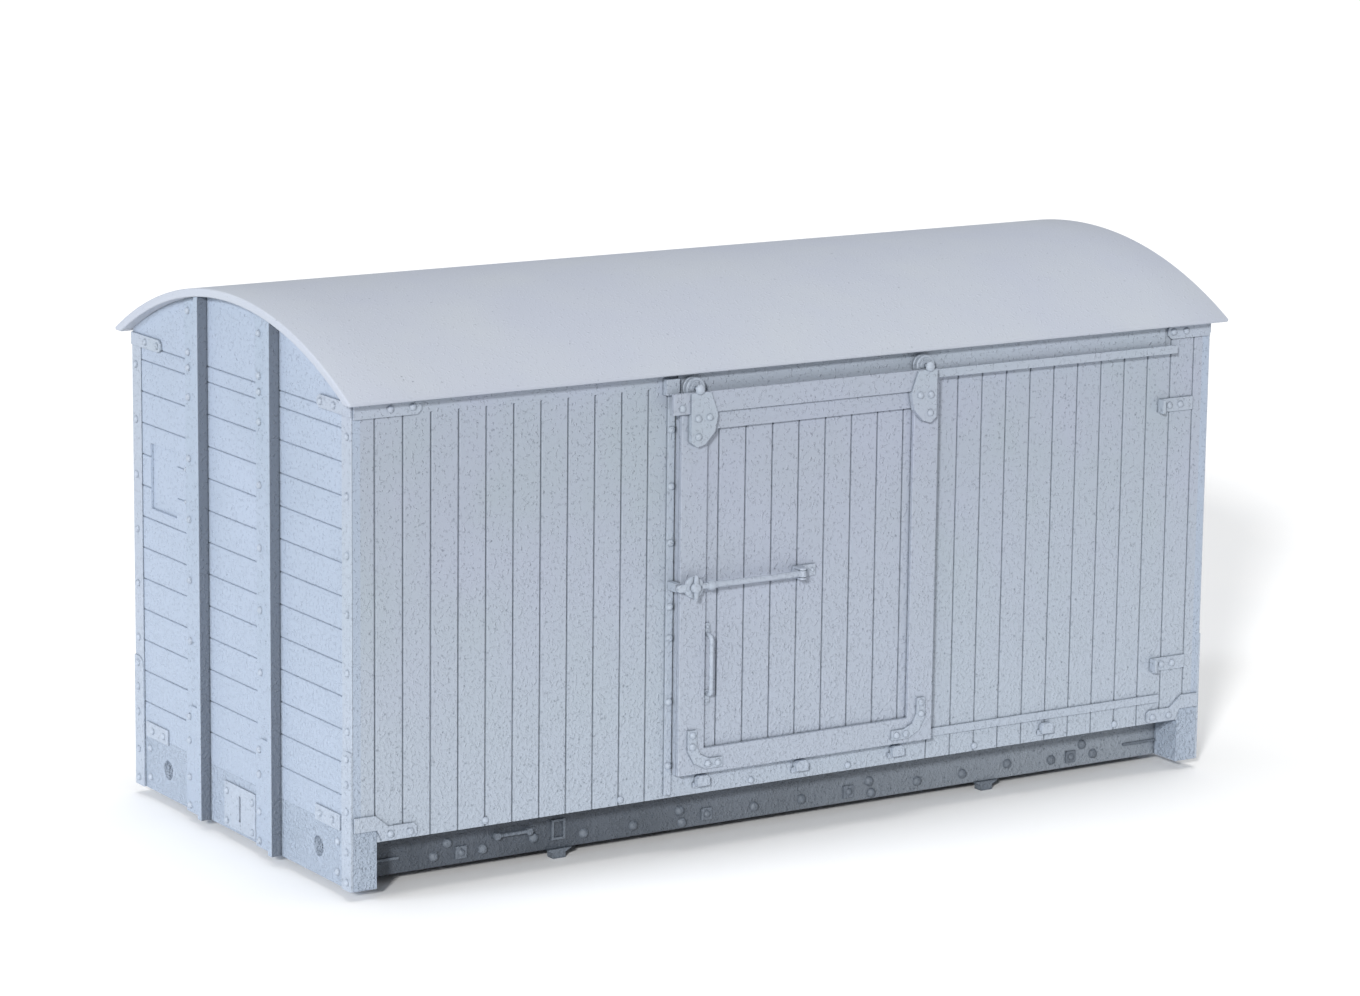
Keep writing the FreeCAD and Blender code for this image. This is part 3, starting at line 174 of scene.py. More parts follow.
@dataclass(frozen=True)
class MouldedStyrene:
    """Injection-moulded polystyrene, matt from the tool and dusty from handling.

    The eye gets a soft, slightly uneven pale surface: faint cloudy patches where the plastic
    flowed, a fine grain from the tool, dark specks that gather low down, painted shade in the
    corners and painted bounce light near the foot.
    Real tool grain is some hundredths of a millimetre; grain, specks and pebbles are drawn several
    times coarser, so that they show.  Heights on the van are in metres.
    """

    name: str
    body: str
    cloud: str
    # Tone of the painted bounce light near the foot.
    bounce_light_tone: str = ""
    # Tone of the dark specks and of the painted shade in corners.
    speck_and_shade_tone: str = "#39434f"
    roughness: float = 0.56
    speck_share: float = 0.42
    speck_gather: float = 0.9
    speck_strength: float = 0.55
    # Strength and reach of the painted shade in grooves and corners.
    crevice_shade: float = 0.6
    crevice_shade_reach_mm: float = 0.4
    cloud_mm: float = 14.0
    speck_mm: float = 0.5
    grain_mm: float = 0.22
    grain_height_mm: float = 0.012
    pebble_mm: float = 0.42
    pebble_height_mm: float = 0.14
    stray_mm: float = 0.3
    stray_reach_mm: float = 0.35
    drift_mm: float = 9.0
    sheen_mm: float = 5.0
    sheen_swing: float = 0.08
    ripple_mm: float = 3.2
    ripple_height_mm: float = 0.03
    # Tone of the painted shade on faces that look to the front.
    front_face_shade: str = ""
    # Tone of the painted light towards the right-hand end.
    far_end_light_tone: str = ""

    def build(self) -> bpy.types.Material:
        """Makes the material, or returns the one already made.

        Returns:
            The Blender material.
        """
        made = bpy.data.materials.get(self.name)
        if made:
            return made
        material = bpy.data.materials.new(self.name)
        material.use_nodes = True
        tree = material.node_tree
        tree.nodes.clear()
        place = add_node(tree, "ShaderNodeTexCoord").outputs["Object"]
        colour = self._clouds(tree, place)
        colour = self._specks(tree, place, colour)
        # Painted shade on the faces that look to the front.
        if self.front_face_shade:
            colour = self._shade_side(tree, colour)
        # Painted shade in grooves and corners, where ambient occlusion finds them.
        colour = self._paint_crevice_shade(tree, colour)
        shader = add_node(tree, "ShaderNodeBsdfPrincipled", {"IOR": 1.59, "Specular IOR Level": 0.42},
                          {"Base Color": colour, "Roughness": self._sheen(tree, place),
                           "Normal": self._grain(tree, place)})
        add_node(tree, "ShaderNodeOutputMaterial", links={"Surface": shader.outputs[0]})
        return material

    def _clouds(self, tree: Tree, place: Socket) -> Socket:
        """Slow drift between two close tones, as flowing plastic leaves, with painted light along the length
        and painted bounce light low down.

        Args:
            tree: node tree of the material.
            place: point on the surface, in metres.

        Returns:
            The colour.
        """
        noise = add_node(tree, "ShaderNodeTexNoise",
                         {"Scale": 1000 / self.cloud_mm, "Detail": 4.0, "Roughness": 0.55},
                         {"Vector": place})
        ramp = add_node(tree, "ShaderNodeMapRange",
                        {"From Min": 0.34, "From Max": 0.66}, {"Value": noise.outputs[0]})
        mix = add_node(tree, "ShaderNodeMix", {"data_type": "RGBA", 6: srgb(self.body),
                                                7: srgb(self.cloud)},
                       {0: ramp.outputs[0]})
        tone = mix.outputs[2]
        # Painted light along the length: paler towards the right-hand end.
        if self.far_end_light_tone:
            length = add_node(tree, "ShaderNodeSeparateXYZ", links={0: place}).outputs["X"]
            along = add_node(tree, "ShaderNodeMapRange", {"From Min": -0.03, "From Max": 0.05},
                             {"Value": length})
            tone = add_node(tree, "ShaderNodeMix", {"data_type": "RGBA", 7: srgb(self.far_end_light_tone)},
                            {0: along.outputs[0], 6: tone}).outputs[2]
        # Painted bounce light from the floor: paler towards the foot.
        if not self.bounce_light_tone:
            return tone
        height = add_node(tree, "ShaderNodeSeparateXYZ", links={0: place}).outputs["Z"]
        low = add_node(tree, "ShaderNodeMapRange", {"From Min": 0.006, "From Max": 0.045, "To Min": 0.9,
                                                    "To Max": 0.0}, {"Value": height})
        bounce_lit = add_node(tree, "ShaderNodeMix", {"data_type": "RGBA", 7: srgb(self.bounce_light_tone)},
                          {0: low.outputs[0], 6: tone})
        return bounce_lit.outputs[2]

    def _specks(self, tree: Tree, place: Socket, colour: Socket) -> Socket:
        """Fine dark specks in some cells only, with more of them towards the foot.

        Args:
            tree: node tree of the material.
            place: point on the surface, in metres.
            colour: colour under the specks.

        Returns:
            The colour with its specks.
        """
        height = add_node(tree, "ShaderNodeSeparateXYZ", links={0: place}).outputs["Z"]
        low = add_node(tree, "ShaderNodeMapRange",
                       {"From Min": 0.002, "From Max": 0.030, "To Min": self.speck_gather, "To Max": 0.0},
                       {"Value": height})
        drift = add_node(tree, "ShaderNodeTexNoise", {"Scale": 1000 / self.drift_mm, "Detail": 2.0},
                         {"Vector": place})
        share = add_node(tree, "ShaderNodeMath", {"operation": "MULTIPLY_ADD", 1: 1.0, 2: self.speck_share},
                         {0: low.outputs[0]})
        uneven = add_node(tree, "ShaderNodeMath", {"operation": "MULTIPLY"},
                          {0: share.outputs[0], 1: drift.outputs[0]})
        stray = add_node(tree, "ShaderNodeTexNoise", {"Scale": 1000 / self.stray_mm, "Detail": 1.0},
                         {"Vector": place})
        reach = (self.stray_reach_mm * MM,) * 3
        ragged = add_node(tree, "ShaderNodeVectorMath", {"operation": "MULTIPLY_ADD", 1: reach},
                          {0: stray.outputs["Color"], 2: place})
        cells = add_node(tree, "ShaderNodeTexVoronoi", {"Scale": 1000 / self.speck_mm},
                         {"Vector": ragged.outputs[0]})
        lot = add_node(tree, "ShaderNodeSeparateColor", links={0: cells.outputs["Color"]})
        chosen = add_node(tree, "ShaderNodeMath", {"operation": "LESS_THAN"},
                          {0: lot.outputs[0], 1: uneven.outputs[0]})
        size = add_node(tree, "ShaderNodeMath", {"operation": "MULTIPLY_ADD", 1: 0.24, 2: 0.16},
                        {0: lot.outputs[1]})
        core = add_node(tree, "ShaderNodeMapRange", {"To Min": 1.0, "To Max": 0.0},
                        {"Value": cells.outputs["Distance"], "From Max": size.outputs[0]})
        dot = add_node(tree, "ShaderNodeMath", {"operation": "MULTIPLY"},
                       {0: core.outputs[0], 1: chosen.outputs[0]})
        soft = add_node(tree, "ShaderNodeMath",
                        {"operation": "MULTIPLY", "use_clamp": True, 1: self.speck_strength},
                        {0: dot.outputs[0]})
        mix = add_node(tree, "ShaderNodeMix", {"data_type": "RGBA", 7: srgb(self.speck_and_shade_tone)},
                       {0: soft.outputs[0], 6: colour})
        return mix.outputs[2]

    def _paint_crevice_shade(self, tree: Tree, colour: Socket) -> Socket:
        """Painted shade in the grooves and round the raised work, where ambient occlusion finds a corner.

        Args:
            tree: node tree of the material.
            colour: colour of the open surface.

        Returns:
            The colour with its dark corners.
        """
        nook = add_node(tree, "ShaderNodeAmbientOcclusion",
                        {"samples": 6, "Distance": self.crevice_shade_reach_mm * MM})
        depth = add_node(tree, "ShaderNodeMapRange",
                         {"From Min": 0.25, "From Max": 0.85, "To Min": self.crevice_shade, "To Max": 0.0},
                         {"Value": nook.outputs["AO"]})
        mix = add_node(tree, "ShaderNodeMix", {"data_type": "RGBA", 7: srgb(self.speck_and_shade_tone)},
                       {0: depth.outputs[0], 6: colour})
        return mix.outputs[2]

    def _shade_side(self, tree: Tree, colour: Socket) -> Socket:
        """Painted shade on the webs: the faces that look to the front are drawn darker.

        Args:
            tree: node tree of the material.
            colour: colour of the other faces.

        Returns:
            The colour with its darker faces.
        """
        facing = add_node(tree, "ShaderNodeSeparateXYZ",
                          links={0: add_node(tree, "ShaderNodeNewGeometry").outputs["True Normal"]})
        share = add_node(tree, "ShaderNodeMapRange", {"From Min": -0.3, "From Max": -0.85, "To Max": 0.9},
                         {"Value": facing.outputs["Y"]})
        mix = add_node(tree, "ShaderNodeMix", {"data_type": "RGBA", 7: srgb(self.front_face_shade)},
                       {0: share.outputs[0], 6: colour})
        return mix.outputs[2]

    def _sheen(self, tree: Tree, place: Socket) -> Socket:
        """Roughness that wanders a little, as handled plastic does.

        Args:
            tree: node tree of the material.
            place: point on the surface, in metres.

        Returns:
            The roughness.
        """
        noise = add_node(tree, "ShaderNodeTexNoise", {"Scale": 1000 / self.sheen_mm, "Detail": 3.0},
                         {"Vector": place})
        spread = add_node(tree, "ShaderNodeMapRange",
                          {"To Min": self.roughness - self.sheen_swing,
                           "To Max": self.roughness + self.sheen_swing},
                          {"Value": noise.outputs[0]})
        return spread.outputs[0]

    def _grain(self, tree: Tree, place: Socket) -> Socket:
        """Fine grain and pebbles over a faint ripple.

        Args:
            tree: node tree of the material.
            place: point on the surface, in metres.

        Returns:
            The bumped normal.
        """
        fine = add_node(tree, "ShaderNodeTexNoise", {"Scale": 1000 / self.grain_mm, "Detail": 3.0},
                        {"Vector": place})
        pebbles = add_node(tree, "ShaderNodeTexNoise",
                           {"Scale": 1000 / self.pebble_mm, "Detail": 2.0, "Roughness": 0.6},
                           {"Vector": place})
        height = add_node(tree, "ShaderNodeSeparateXYZ", links={0: place}).outputs["Z"]
        start = add_node(tree, "ShaderNodeMapRange", {"From Min": 0.004, "From Max": 0.045, "To Min": 0.44,
                                                      "To Max": 0.56}, {"Value": height})
        peaks = add_node(tree, "ShaderNodeMapRange", {"From Max": 0.78},
                         {"Value": pebbles.outputs[0], "From Min": start.outputs[0]})
        ripple = add_node(tree, "ShaderNodeTexNoise", {"Scale": 1000 / self.ripple_mm, "Detail": 1.0},
                          {"Vector": place})
        rise = add_node(tree, "ShaderNodeBump", {"Strength": 0.35, "Distance": self.ripple_height_mm * MM},
                        {"Height": ripple.outputs[0]})
        sprayed = add_node(tree, "ShaderNodeBump",
                           {"Strength": 0.8, "Distance": self.pebble_height_mm * MM},
                           {"Height": peaks.outputs[0], "Normal": rise.outputs[0]})
        bump = add_node(tree, "ShaderNodeBump", {"Strength": 0.5, "Distance": self.grain_height_mm * MM},
                        {"Height": fine.outputs[0], "Normal": sprayed.outputs[0]})
        return bump.outputs[0]


# Moulded styrene planking: pale, with dark lines of painted shade in the joints, painted bounce light near
# the foot and more specks low down.
PLANKS = MouldedStyrene("planked_styrene", "#9ba2b2", "#98a2ad", bounce_light_tone="#a6b0bd", crevice_shade=0.85,
                        crevice_shade_reach_mm=0.32)
# Moulded styrene end: a bluer pale tone, painted cool light from the left, with painted bounce light low
# down and fewer specks, so it looks cleaner than the sides.
ENDS = MouldedStyrene("end_styrene", "#9ca8ba", "#97a3b4", bounce_light_tone="#a0acbd", speck_share=0.22, crevice_shade=0.7,
                      crevice_shade_reach_mm=0.3)
# Moulded styrene roof: the smoothest and mattest panel, with a soft broad sheen and almost no specks.
ROOFING = MouldedStyrene("roof_styrene", "#a8aebb", "#abb1bb", roughness=0.66, speck_share=0.04,
                         speck_gather=0.0, crevice_shade=0.25, pebble_height_mm=0.04)
# Moulded styrene straps, bolts and rails: pale raised work, outlined by painted shade at its foot, with
# painted bounce light low down.
IRONWORK = MouldedStyrene("ironwork_styrene", "#9ea6b4", "#9ba5b1", bounce_light_tone="#a6b0be", speck_share=0.14,
                          crevice_shade=0.8, crevice_shade_reach_mm=0.4)
# Moulded styrene solebar: speckled, its dark tone painted shade under the body, with painted light making it
# paler towards the right-hand end.
UNDERFRAME = MouldedStyrene("underframe_styrene", "#515862", "#3f464f", far_end_light_tone="#848c96", speck_share=0.9,
                            speck_gather=0.3, crevice_shade=0.8, crevice_shade_reach_mm=1.2, speck_strength=0.8,
                            pebble_height_mm=0.13)
# Moulded styrene solebar bolts and feet: a middle tone, painted shade under the body, that stands out from
# the dark beam.
UNDERFITTINGS = MouldedStyrene("underframe_fitting_styrene", "#6b737e", "#5f6771", speck_share=0.3,
                               speck_gather=0.3, crevice_shade=0.85, crevice_shade_reach_mm=0.5)
# Moulded styrene headstock: pale and coarsely pebbled, with many small specks, in the ends' bluer tone of
# painted cool light.
HEADSTOCK = MouldedStyrene("headstock_styrene", "#9da9ba", "#98a4b4", speck_share=0.9, speck_gather=0.4,
                           crevice_shade=0.7, speck_strength=0.6, pebble_height_mm=0.24)
# Moulded styrene uprights: pale flanges in the ends' bluer tone of painted cool light and with painted
# bounce light low down, beside webs whose front-facing faces carry a painted shade of slate grey.
STANCHION = MouldedStyrene("stanchion_styrene", "#98a4b5", "#94a1b1", bounce_light_tone="#a0acbd", front_face_shade="#59616d",
                           crevice_shade_reach_mm=0.5, crevice_shade=0.7)
# Moulded styrene door: close to the planking, with softer specks, wider painted shade round the frame and
# painted bounce light low down.
DOORS = MouldedStyrene("door_styrene", "#9ba2b2", "#99a1ae", bounce_light_tone="#a4adbb", speck_share=0.22, crevice_shade=0.85,
                       crevice_shade_reach_mm=0.4)


# ---------------------------------------------------------------- mesh tools

class Shape:
    """A mesh under construction, with the few moves that this van needs."""

    def __init__(self) -> None:
        """Starts an empty mesh."""
        self.mesh = bmesh.new()

    def circle(self, middle: Vector, side: Vector, across: Vector, radius: float,
               steps: int) -> list[bmesh.types.BMVert]:
        """Adds the points of a circle.

        Args:
            middle: centre in metres.
            side: unit vector in the circle's plane.
            across: unit vector in the plane, square to side.
            radius: radius in mm.
            steps: number of points.

        Returns:
            The new points, once round.
        """
        turns = (2 * math.pi * step / steps for step in range(steps))
        return [self.mesh.verts.new(middle + (side * math.cos(turn) + across * math.sin(turn)) * radius * MM)
                for turn in turns]

    def skin(self, rings: Sequence[Sequence[bmesh.types.BMVert]]) -> list[bmesh.types.BMFace]:
        """Joins each ring to the next with four-sided faces.

        Args:
            rings: rings with the same number of points.

        Returns:
            The new faces.
        """
        faces = []
        for first, second in zip(rings, rings[1:]):
            for index in range(len(first)):
                after = (index + 1) % len(first)
                faces.append(self.mesh.faces.new((first[index], first[after], second[after], second[index])))
        return faces

    def plate(self, outline: Sequence[Point2], back: float, front: float, facing: Facing,
              edge: float = 0.05, segments: int = 2) -> None:
        """Adds a flat plate whose outer rim is rounded over.

        Args:
            outline: corners of the plate in mm, across and up, in order.
            back: distance of its back from the middle of the van, in mm.
            front: distance of its outer face, in mm.
            facing: which way the outer face looks.
            edge: rounding of the outer rim, in mm.
            segments: steps in the rounding.
        """
        bm = self.mesh
        rear = [bm.verts.new(facing.place(across, up, back)) for across, up in outline]
        fore = [bm.verts.new(facing.place(across, up, front)) for across, up in outline]
        cap = bm.faces.new(fore)
        faces = [cap, bm.faces.new(list(reversed(rear)))]
        count = len(outline)
        for index in range(count):
            after = (index + 1) % count
            faces.append(bm.faces.new((fore[index], rear[index], rear[after], fore[after])))
        bmesh.ops.recalc_face_normals(bm, faces=faces)
        if edge > 0:
            bmesh.ops.bevel(bm, geom=list(cap.edges), offset=edge * MM, segments=segments, profile=0.5,
                            affect="EDGES", clamp_overlap=True)

    def lathe(self, profile: Sequence[Point2], centre: Vector, axis: Vector, steps: int = 24) -> None:
        """Adds a turned shape.

        Args:
            profile: radius and distance along the axis, both in mm, from one end to the other.
            centre: where the axis distance is zero, in metres.
            axis: unit vector along the axis.
            steps: divisions round the turn.
        """
        bm = self.mesh
        side = axis.orthogonal().normalized()
        across = axis.cross(side)
        rings = []
        for radius, along in profile:
            middle = centre + axis * (along * MM)
            if radius <= 1e-6:
                rings.append([bm.verts.new(middle)])
                continue
            rings.append(self.circle(middle, side, across, radius, steps))
        faces = []
        for first, second in zip(rings, rings[1:]):
            for step in range(steps):
                after = (step + 1) % steps
                corners = [first[step % len(first)], first[after % len(first)],
                           second[after % len(second)], second[step % len(second)]]
                unique = list(dict.fromkeys(corners))
                if len(unique) > 2:
                    faces.append(bm.faces.new(unique))
        bmesh.ops.recalc_face_normals(bm, faces=faces)

    def rod(self, path: Sequence[Vector], radius: float, steps: int = 14) -> None:
        """Adds a round bar along a path, with flat ends.

        Args:
            path: points along the bar's middle, in metres.
            radius: radius of the bar in mm.
            steps: divisions round the bar.
        """
        bm = self.mesh
        rings = []
        side = (path[1] - path[0]).orthogonal().normalized()
        for index, point in enumerate(path):
            before = path[max(index - 1, 0)]
            after = path[min(index + 1, len(path) - 1)]
            along = (after - before).normalized()
            side = (side - along * side.dot(along)).normalized()
            across = along.cross(side)
            rings.append(self.circle(point, side, across, radius, steps))
        faces = self.skin(rings)
        faces += [bm.faces.new(ring) for ring in (rings[0], rings[-1])]
        bmesh.ops.recalc_face_normals(bm, faces=faces)

    def relief(self, across: Iterable[float], levels: Iterable[float],
               present: Callable[[float, float], bool], sink: Callable[[float, float], float],
               front: float, back: float, facing: Facing,
               limit: Callable[[float], float] | None = None) -> None:
        """Adds a closed panel whose face is sunk along its joints.

        Args:
            across: places of the upright mesh lines, in mm, in any order.
            levels: heights of the level mesh lines, in mm, in any order.
            present: tells whether the panel has material at a place.
            sink: depth of the face at a place, in mm.
            front: distance of the face from the middle of the van, in mm.
            back: distance of the back, in mm.
            facing: which way the face looks.
            limit: height of the top edge at a place, in mm, where it isn't level.
        """
        bm = self.mesh
        columns = sorted({round(place, 4) for place in across})
        rows = sorted({round(level, 4) for level in levels})
        fore: dict[Point2, bmesh.types.BMVert] = {}
        rear: dict[Point2, bmesh.types.BMVert] = {}

        def corner(place: float, level: float) -> Point2:
            """Key of a corner, whose front and back points are added when it is new.

            Args:
                place: place along the face, in mm.
                level: height, in mm.

            Returns:
                The key of the two points.
            """
            key = (place, round(min(level, limit(place)) if limit else level, 4))
            if key not in fore:
                fore[key] = bm.verts.new(facing.place(key[0], key[1], front - sink(*key)))
                rear[key] = bm.verts.new(facing.place(key[0], key[1], back))
            return key

        faces = []
        rims: dict[tuple[Point2, Point2], None] = {}
        for left, right in zip(columns, columns[1:]):
            for low, high in zip(rows, rows[1:]):
                if not present((left + right) / 2, (low + high) / 2):
                    continue
                keys = list(dict.fromkeys((corner(left, low), corner(right, low),
                                           corner(right, high), corner(left, high))))
                if len(keys) < 3:
                    continue
                faces.append(bm.faces.new([fore[key] for key in keys]))
                faces.append(bm.faces.new([rear[key] for key in reversed(keys)]))
                for first, second in zip(keys, keys[1:] + keys[:1]):
                    rims[(first, second)] = None
        for first, second in rims:
            if (second, first) not in rims:
                faces.append(bm.faces.new((fore[second], fore[first], rear[first], rear[second])))
        loose = [vert for vert in bm.verts if not vert.link_faces]
        bmesh.ops.delete(bm, geom=loose, context="VERTS")
        bmesh.ops.recalc_face_normals(bm, faces=faces)

    def ring_plate(self, outline: Sequence[Point2], centre: Point2, hole: float, back: float, front: float,
                   facing: Facing, edge: float) -> None:
        """Adds a flat plate with a round hole and a rounded rim.

        Args:
            outline: corners of the plate in mm, once round the hole.
            centre: centre of the hole, across and up, in mm.
            hole: radius of the hole in mm.
            back: distance of the plate's back from the middle of the van, in mm.
            front: distance of its face, in mm.
            facing: which way the face looks.
            edge: rounding of the rim, in mm.
        """
        bm = self.mesh

        def ring(points: Sequence[Point2], out: float) -> list[bmesh.types.BMVert]:
            """Points of an outline at one distance from the middle of the van."""
            return [bm.verts.new(facing.place(across, up, out)) for across, up in points]

        def drawn_in(amount: float) -> list[Point2]:
            """The outline, drawn in towards the hole by an amount in mm."""
            return [(across - (across - centre[0]) * amount / math.hypot(across - centre[0], up - centre[1]),
                     up - (up - centre[1]) * amount / math.hypot(across - centre[0], up - centre[1]))
                    for across, up in outline]

        bore = []
        for across, up in outline:
            turn = math.atan2(up - centre[1], across - centre[0])
            bore.append((centre[0] + hole * math.cos(turn), centre[1] + hole * math.sin(turn)))
        rings = [ring(bore, back), ring(drawn_in(edge), back), ring(outline, back + edge),
                 ring(outline, front - edge), ring(drawn_in(edge * 0.3), front - edge * 0.3),
                 ring(drawn_in(edge), front), ring(bore, front)]
        bmesh.ops.recalc_face_normals(bm, faces=self.skin([*rings, rings[0]]))

    def finish(self, name: str, node: str, finish: MouldedStyrene, slot: str,
               turned: bool = False, crease: float = 32.0) -> bpy.types.Object:
        """Turns the shape into a piece that stands for a CAD node and rides on its body.

        Args:
            name: name of the new piece.
            node: CAD node that it stands for.
            finish: material finish.
            slot: the record's material slot; not used.
            turned: half a turn about Z, for the back side and the right-hand end.
            crease: edges sharper than this angle, in degrees, stay crisp.

        Returns:
            The new object.
        """
        if turned:
            bmesh.ops.rotate(self.mesh, cent=Vector(), matrix=Matrix.Rotation(math.pi, 3, "Z"),
                             verts=self.mesh.verts)
        data = bpy.data.meshes.new(name)
        self.mesh.to_mesh(data)
        self.mesh.free()
        data.shade_smooth()
        data.set_sharp_from_angle(angle=math.radians(crease))
        data.materials.append(finish.build())
        piece = bpy.data.objects.new(name, data)
        bpy.context.scene.collection.objects.link(piece)
        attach(piece, frame["nodes"][node]["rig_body"])
        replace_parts(piece, node)
        return piece


def node_box(node: str) -> tuple[Vector, Vector]:
    """Lowest and highest corner of a CAD node, in mm.

    Args:
        node: name of the CAD node.

    Returns:
        The two corners.
    """
    low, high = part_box(node)
    return low / MM, high / MM


def solids_of(node: str) -> list[tuple[Vector, Vector]]:
    """Boxes of the separate solids that share a CAD node.

    Args:
        node: name of the CAD node.

    Returns:
        The lowest and highest corner of each solid, in mm.
    """
    bm = bmesh.new()
    bm.from_mesh(frame["nodes"][node].data)
    bmesh.ops.remove_doubles(bm, verts=bm.verts, dist=1e-6)
    boxes = []
    waiting = set(bm.verts)
    while waiting:
        stack = [waiting.pop()]
        found = list(stack)
        while stack:
            for edge in stack.pop().link_edges:
                for vert in edge.verts:
                    if vert in waiting:
                        waiting.remove(vert)
                        stack.append(vert)
                        found.append(vert)
        places = [vert.co / MM for vert in found]
        boxes.append((Vector(min(p[axis] for p in places) for axis in range(3)),
                      Vector(max(p[axis] for p in places) for axis in range(3))))
    bm.free()
    return boxes


def carry_over(node: str, finish: MouldedStyrene, edge: float = 0.05) -> None:
    """Keeps a CAD node, softens its edges with modifiers and gives it a finish.

    Args:
        node: name of the CAD node.
        finish: material finish.
        edge: rounding of its edges, in mm.
    """
    item = frame["nodes"][node]
    item.data.materials.clear()
    item.data.materials.append(finish.build())
    for polygon in item.data.polygons:
        polygon.material_index = 0
    weld = item.modifiers.new("joined_faces", "WELD")
    weld.merge_threshold = 1e-6
    if edge > 0:
        soften = item.modifiers.new("soft_edges", "BEVEL")
        soften.width = edge * MM
        soften.segments = 2
        soften.limit_method = "ANGLE"
        soften.angle_limit = math.radians(35)
        soften.use_clamp_overlap = True
        soften.harden_normals = False
        soften.miter_outer = "MITER_ARC"


@dataclass(frozen=True)
class VJoint:
    """V-shaped joint between two planks, its lips slightly eased."""

    width: float = 0.3
    depth: float = 0.24

    def lines(self, middle: float) -> list[float]:
        """Mesh lines across the joint.

        Args:
            middle: place of the joint, in mm.

        Returns:
            Places of the lines, in mm.
        """
        half = self.width / 2
        return [middle + half * share for share in (-1.25, -0.9, 0.0, 0.9, 1.25)]

    def depth_at(self, away: float) -> float:
        """Depth of the joint at a distance from its middle.

        Args:
            away: distance from the middle, in mm.

        Returns:
            Depth in mm.
        """
        share = abs(away) / (self.width / 2)
        if share >= 1.25:
            return 0.0
        if share >= 0.9:
            return self.depth * 0.1 * (1.25 - share) / 0.35
        return self.depth * (1.0 - share)


def rounded_box(left: float, right: float, low: float, high: float, radius: float) -> list[Point2]:
    """Outline of an upright box with rounded corners.

    Args:
        left: left edge in mm.
        right: right edge in mm.
        low: bottom edge in mm.
        high: top edge in mm.
        radius: radius of the corners in mm.

    Returns:
        Points across and up, once round.
    """
    corners = ((right - radius, high - radius, 0), (left + radius, high - radius, 1),
               (left + radius, low + radius, 2), (right - radius, low + radius, 3))
    return [(across + radius * math.cos(math.pi / 2 * (quarter + step / 4)),
             up + radius * math.sin(math.pi / 2 * (quarter + step / 4)))
            for across, up, quarter in corners for step in range(5)]


def arc_height(across: float, centre: float, radius: float) -> float:
    """Height of the roof curve above a point across the van.

    Args:
        across: distance from the centre line, in mm.
        centre: height of the arc's centre, in mm.
        radius: radius of the arc, in mm.

    Returns:
        The height in mm.
    """
    return centre + math.sqrt(radius * radius - across * across)


# ---------------------------------------------------------------- the body

@dataclass
class PlankedSide:
    """One long side: upright planks with V joints, a doorway and a notch over each headstock end."""

    side: Side
    half_length: float = 60.25
    notch: float = 58.15
    skirt: float = 5.55
    frame_top: float = 7.04
    top: float = 57.35
    inner: float = 27.0
    outer: float = 28.2
    doorway: tuple[float, float, float, float] = (-16.5, 16.5, 10.35, 51.4)
    pitch: float = 3.64
    left_joint: float = -58.38
    left_count: int = 11
    right_joint: float = 58.9
    right_count: int = 12
    joint_top: float = 55.15
    joint: VJoint = VJoint()

    def joints(self) -> list[float]:
        """Places of the plank joints along the side, in mm."""
        left = [self.left_joint + self.pitch * step for step in range(self.left_count)]
        right = [self.right_joint - self.pitch * step for step in range(self.right_count)]
        return left + right

    def sink(self, across: float, up: float) -> float:
        """Depth of the face below the plank tops at a point.

        Args:
            across: place along the side, in mm.
            up: height above the feet, in mm.

        Returns:
            The depth in mm.
        """
        if up > self.joint_top + REST_HEIGHT + 0.06:
            return 0.0
        return max(self.joint.depth_at(across - joint) for joint in self.joints())

    def present(self, across: float, up: float) -> bool:
        """Whether the side has material at a point.

        Args:
            across: place along the side, in mm.
            up: height above the feet, in mm.

        Returns:
            True inside the panel, False in the doorway and the end notches.
        """
        left, right, low, high = self.doorway
        level = up - REST_HEIGHT
        if left < across < right and low < level < high:
            return False
        return abs(across) < self.notch or level > self.frame_top

    def build(self) -> bpy.types.Object:
        """Builds the side and dresses it.

        Returns:
            The piece.
        """
        left, right, low, high = self.doorway
        across = [-self.half_length, -self.notch, left, right, self.notch, self.half_length]
        for joint in self.joints():
            across += self.joint.lines(joint)
        levels = [self.skirt, self.skirt + 0.12, self.frame_top, low, 20.0, 30.0, 40.0, high,
                  self.joint_top, self.joint_top + 0.05, self.joint_top + 0.12, self.top]
        shape = Shape()
        shape.relief(across, [level + REST_HEIGHT for level in levels], self.present, self.sink,
                     self.outer, self.inner, Facing.FRONT)
        node = "side_panel_" + self.side.value
        return shape.finish("planked_side_" + self.side.value, node, PLANKS, "plank_plastic",
                            self.side.turned, 12.0)


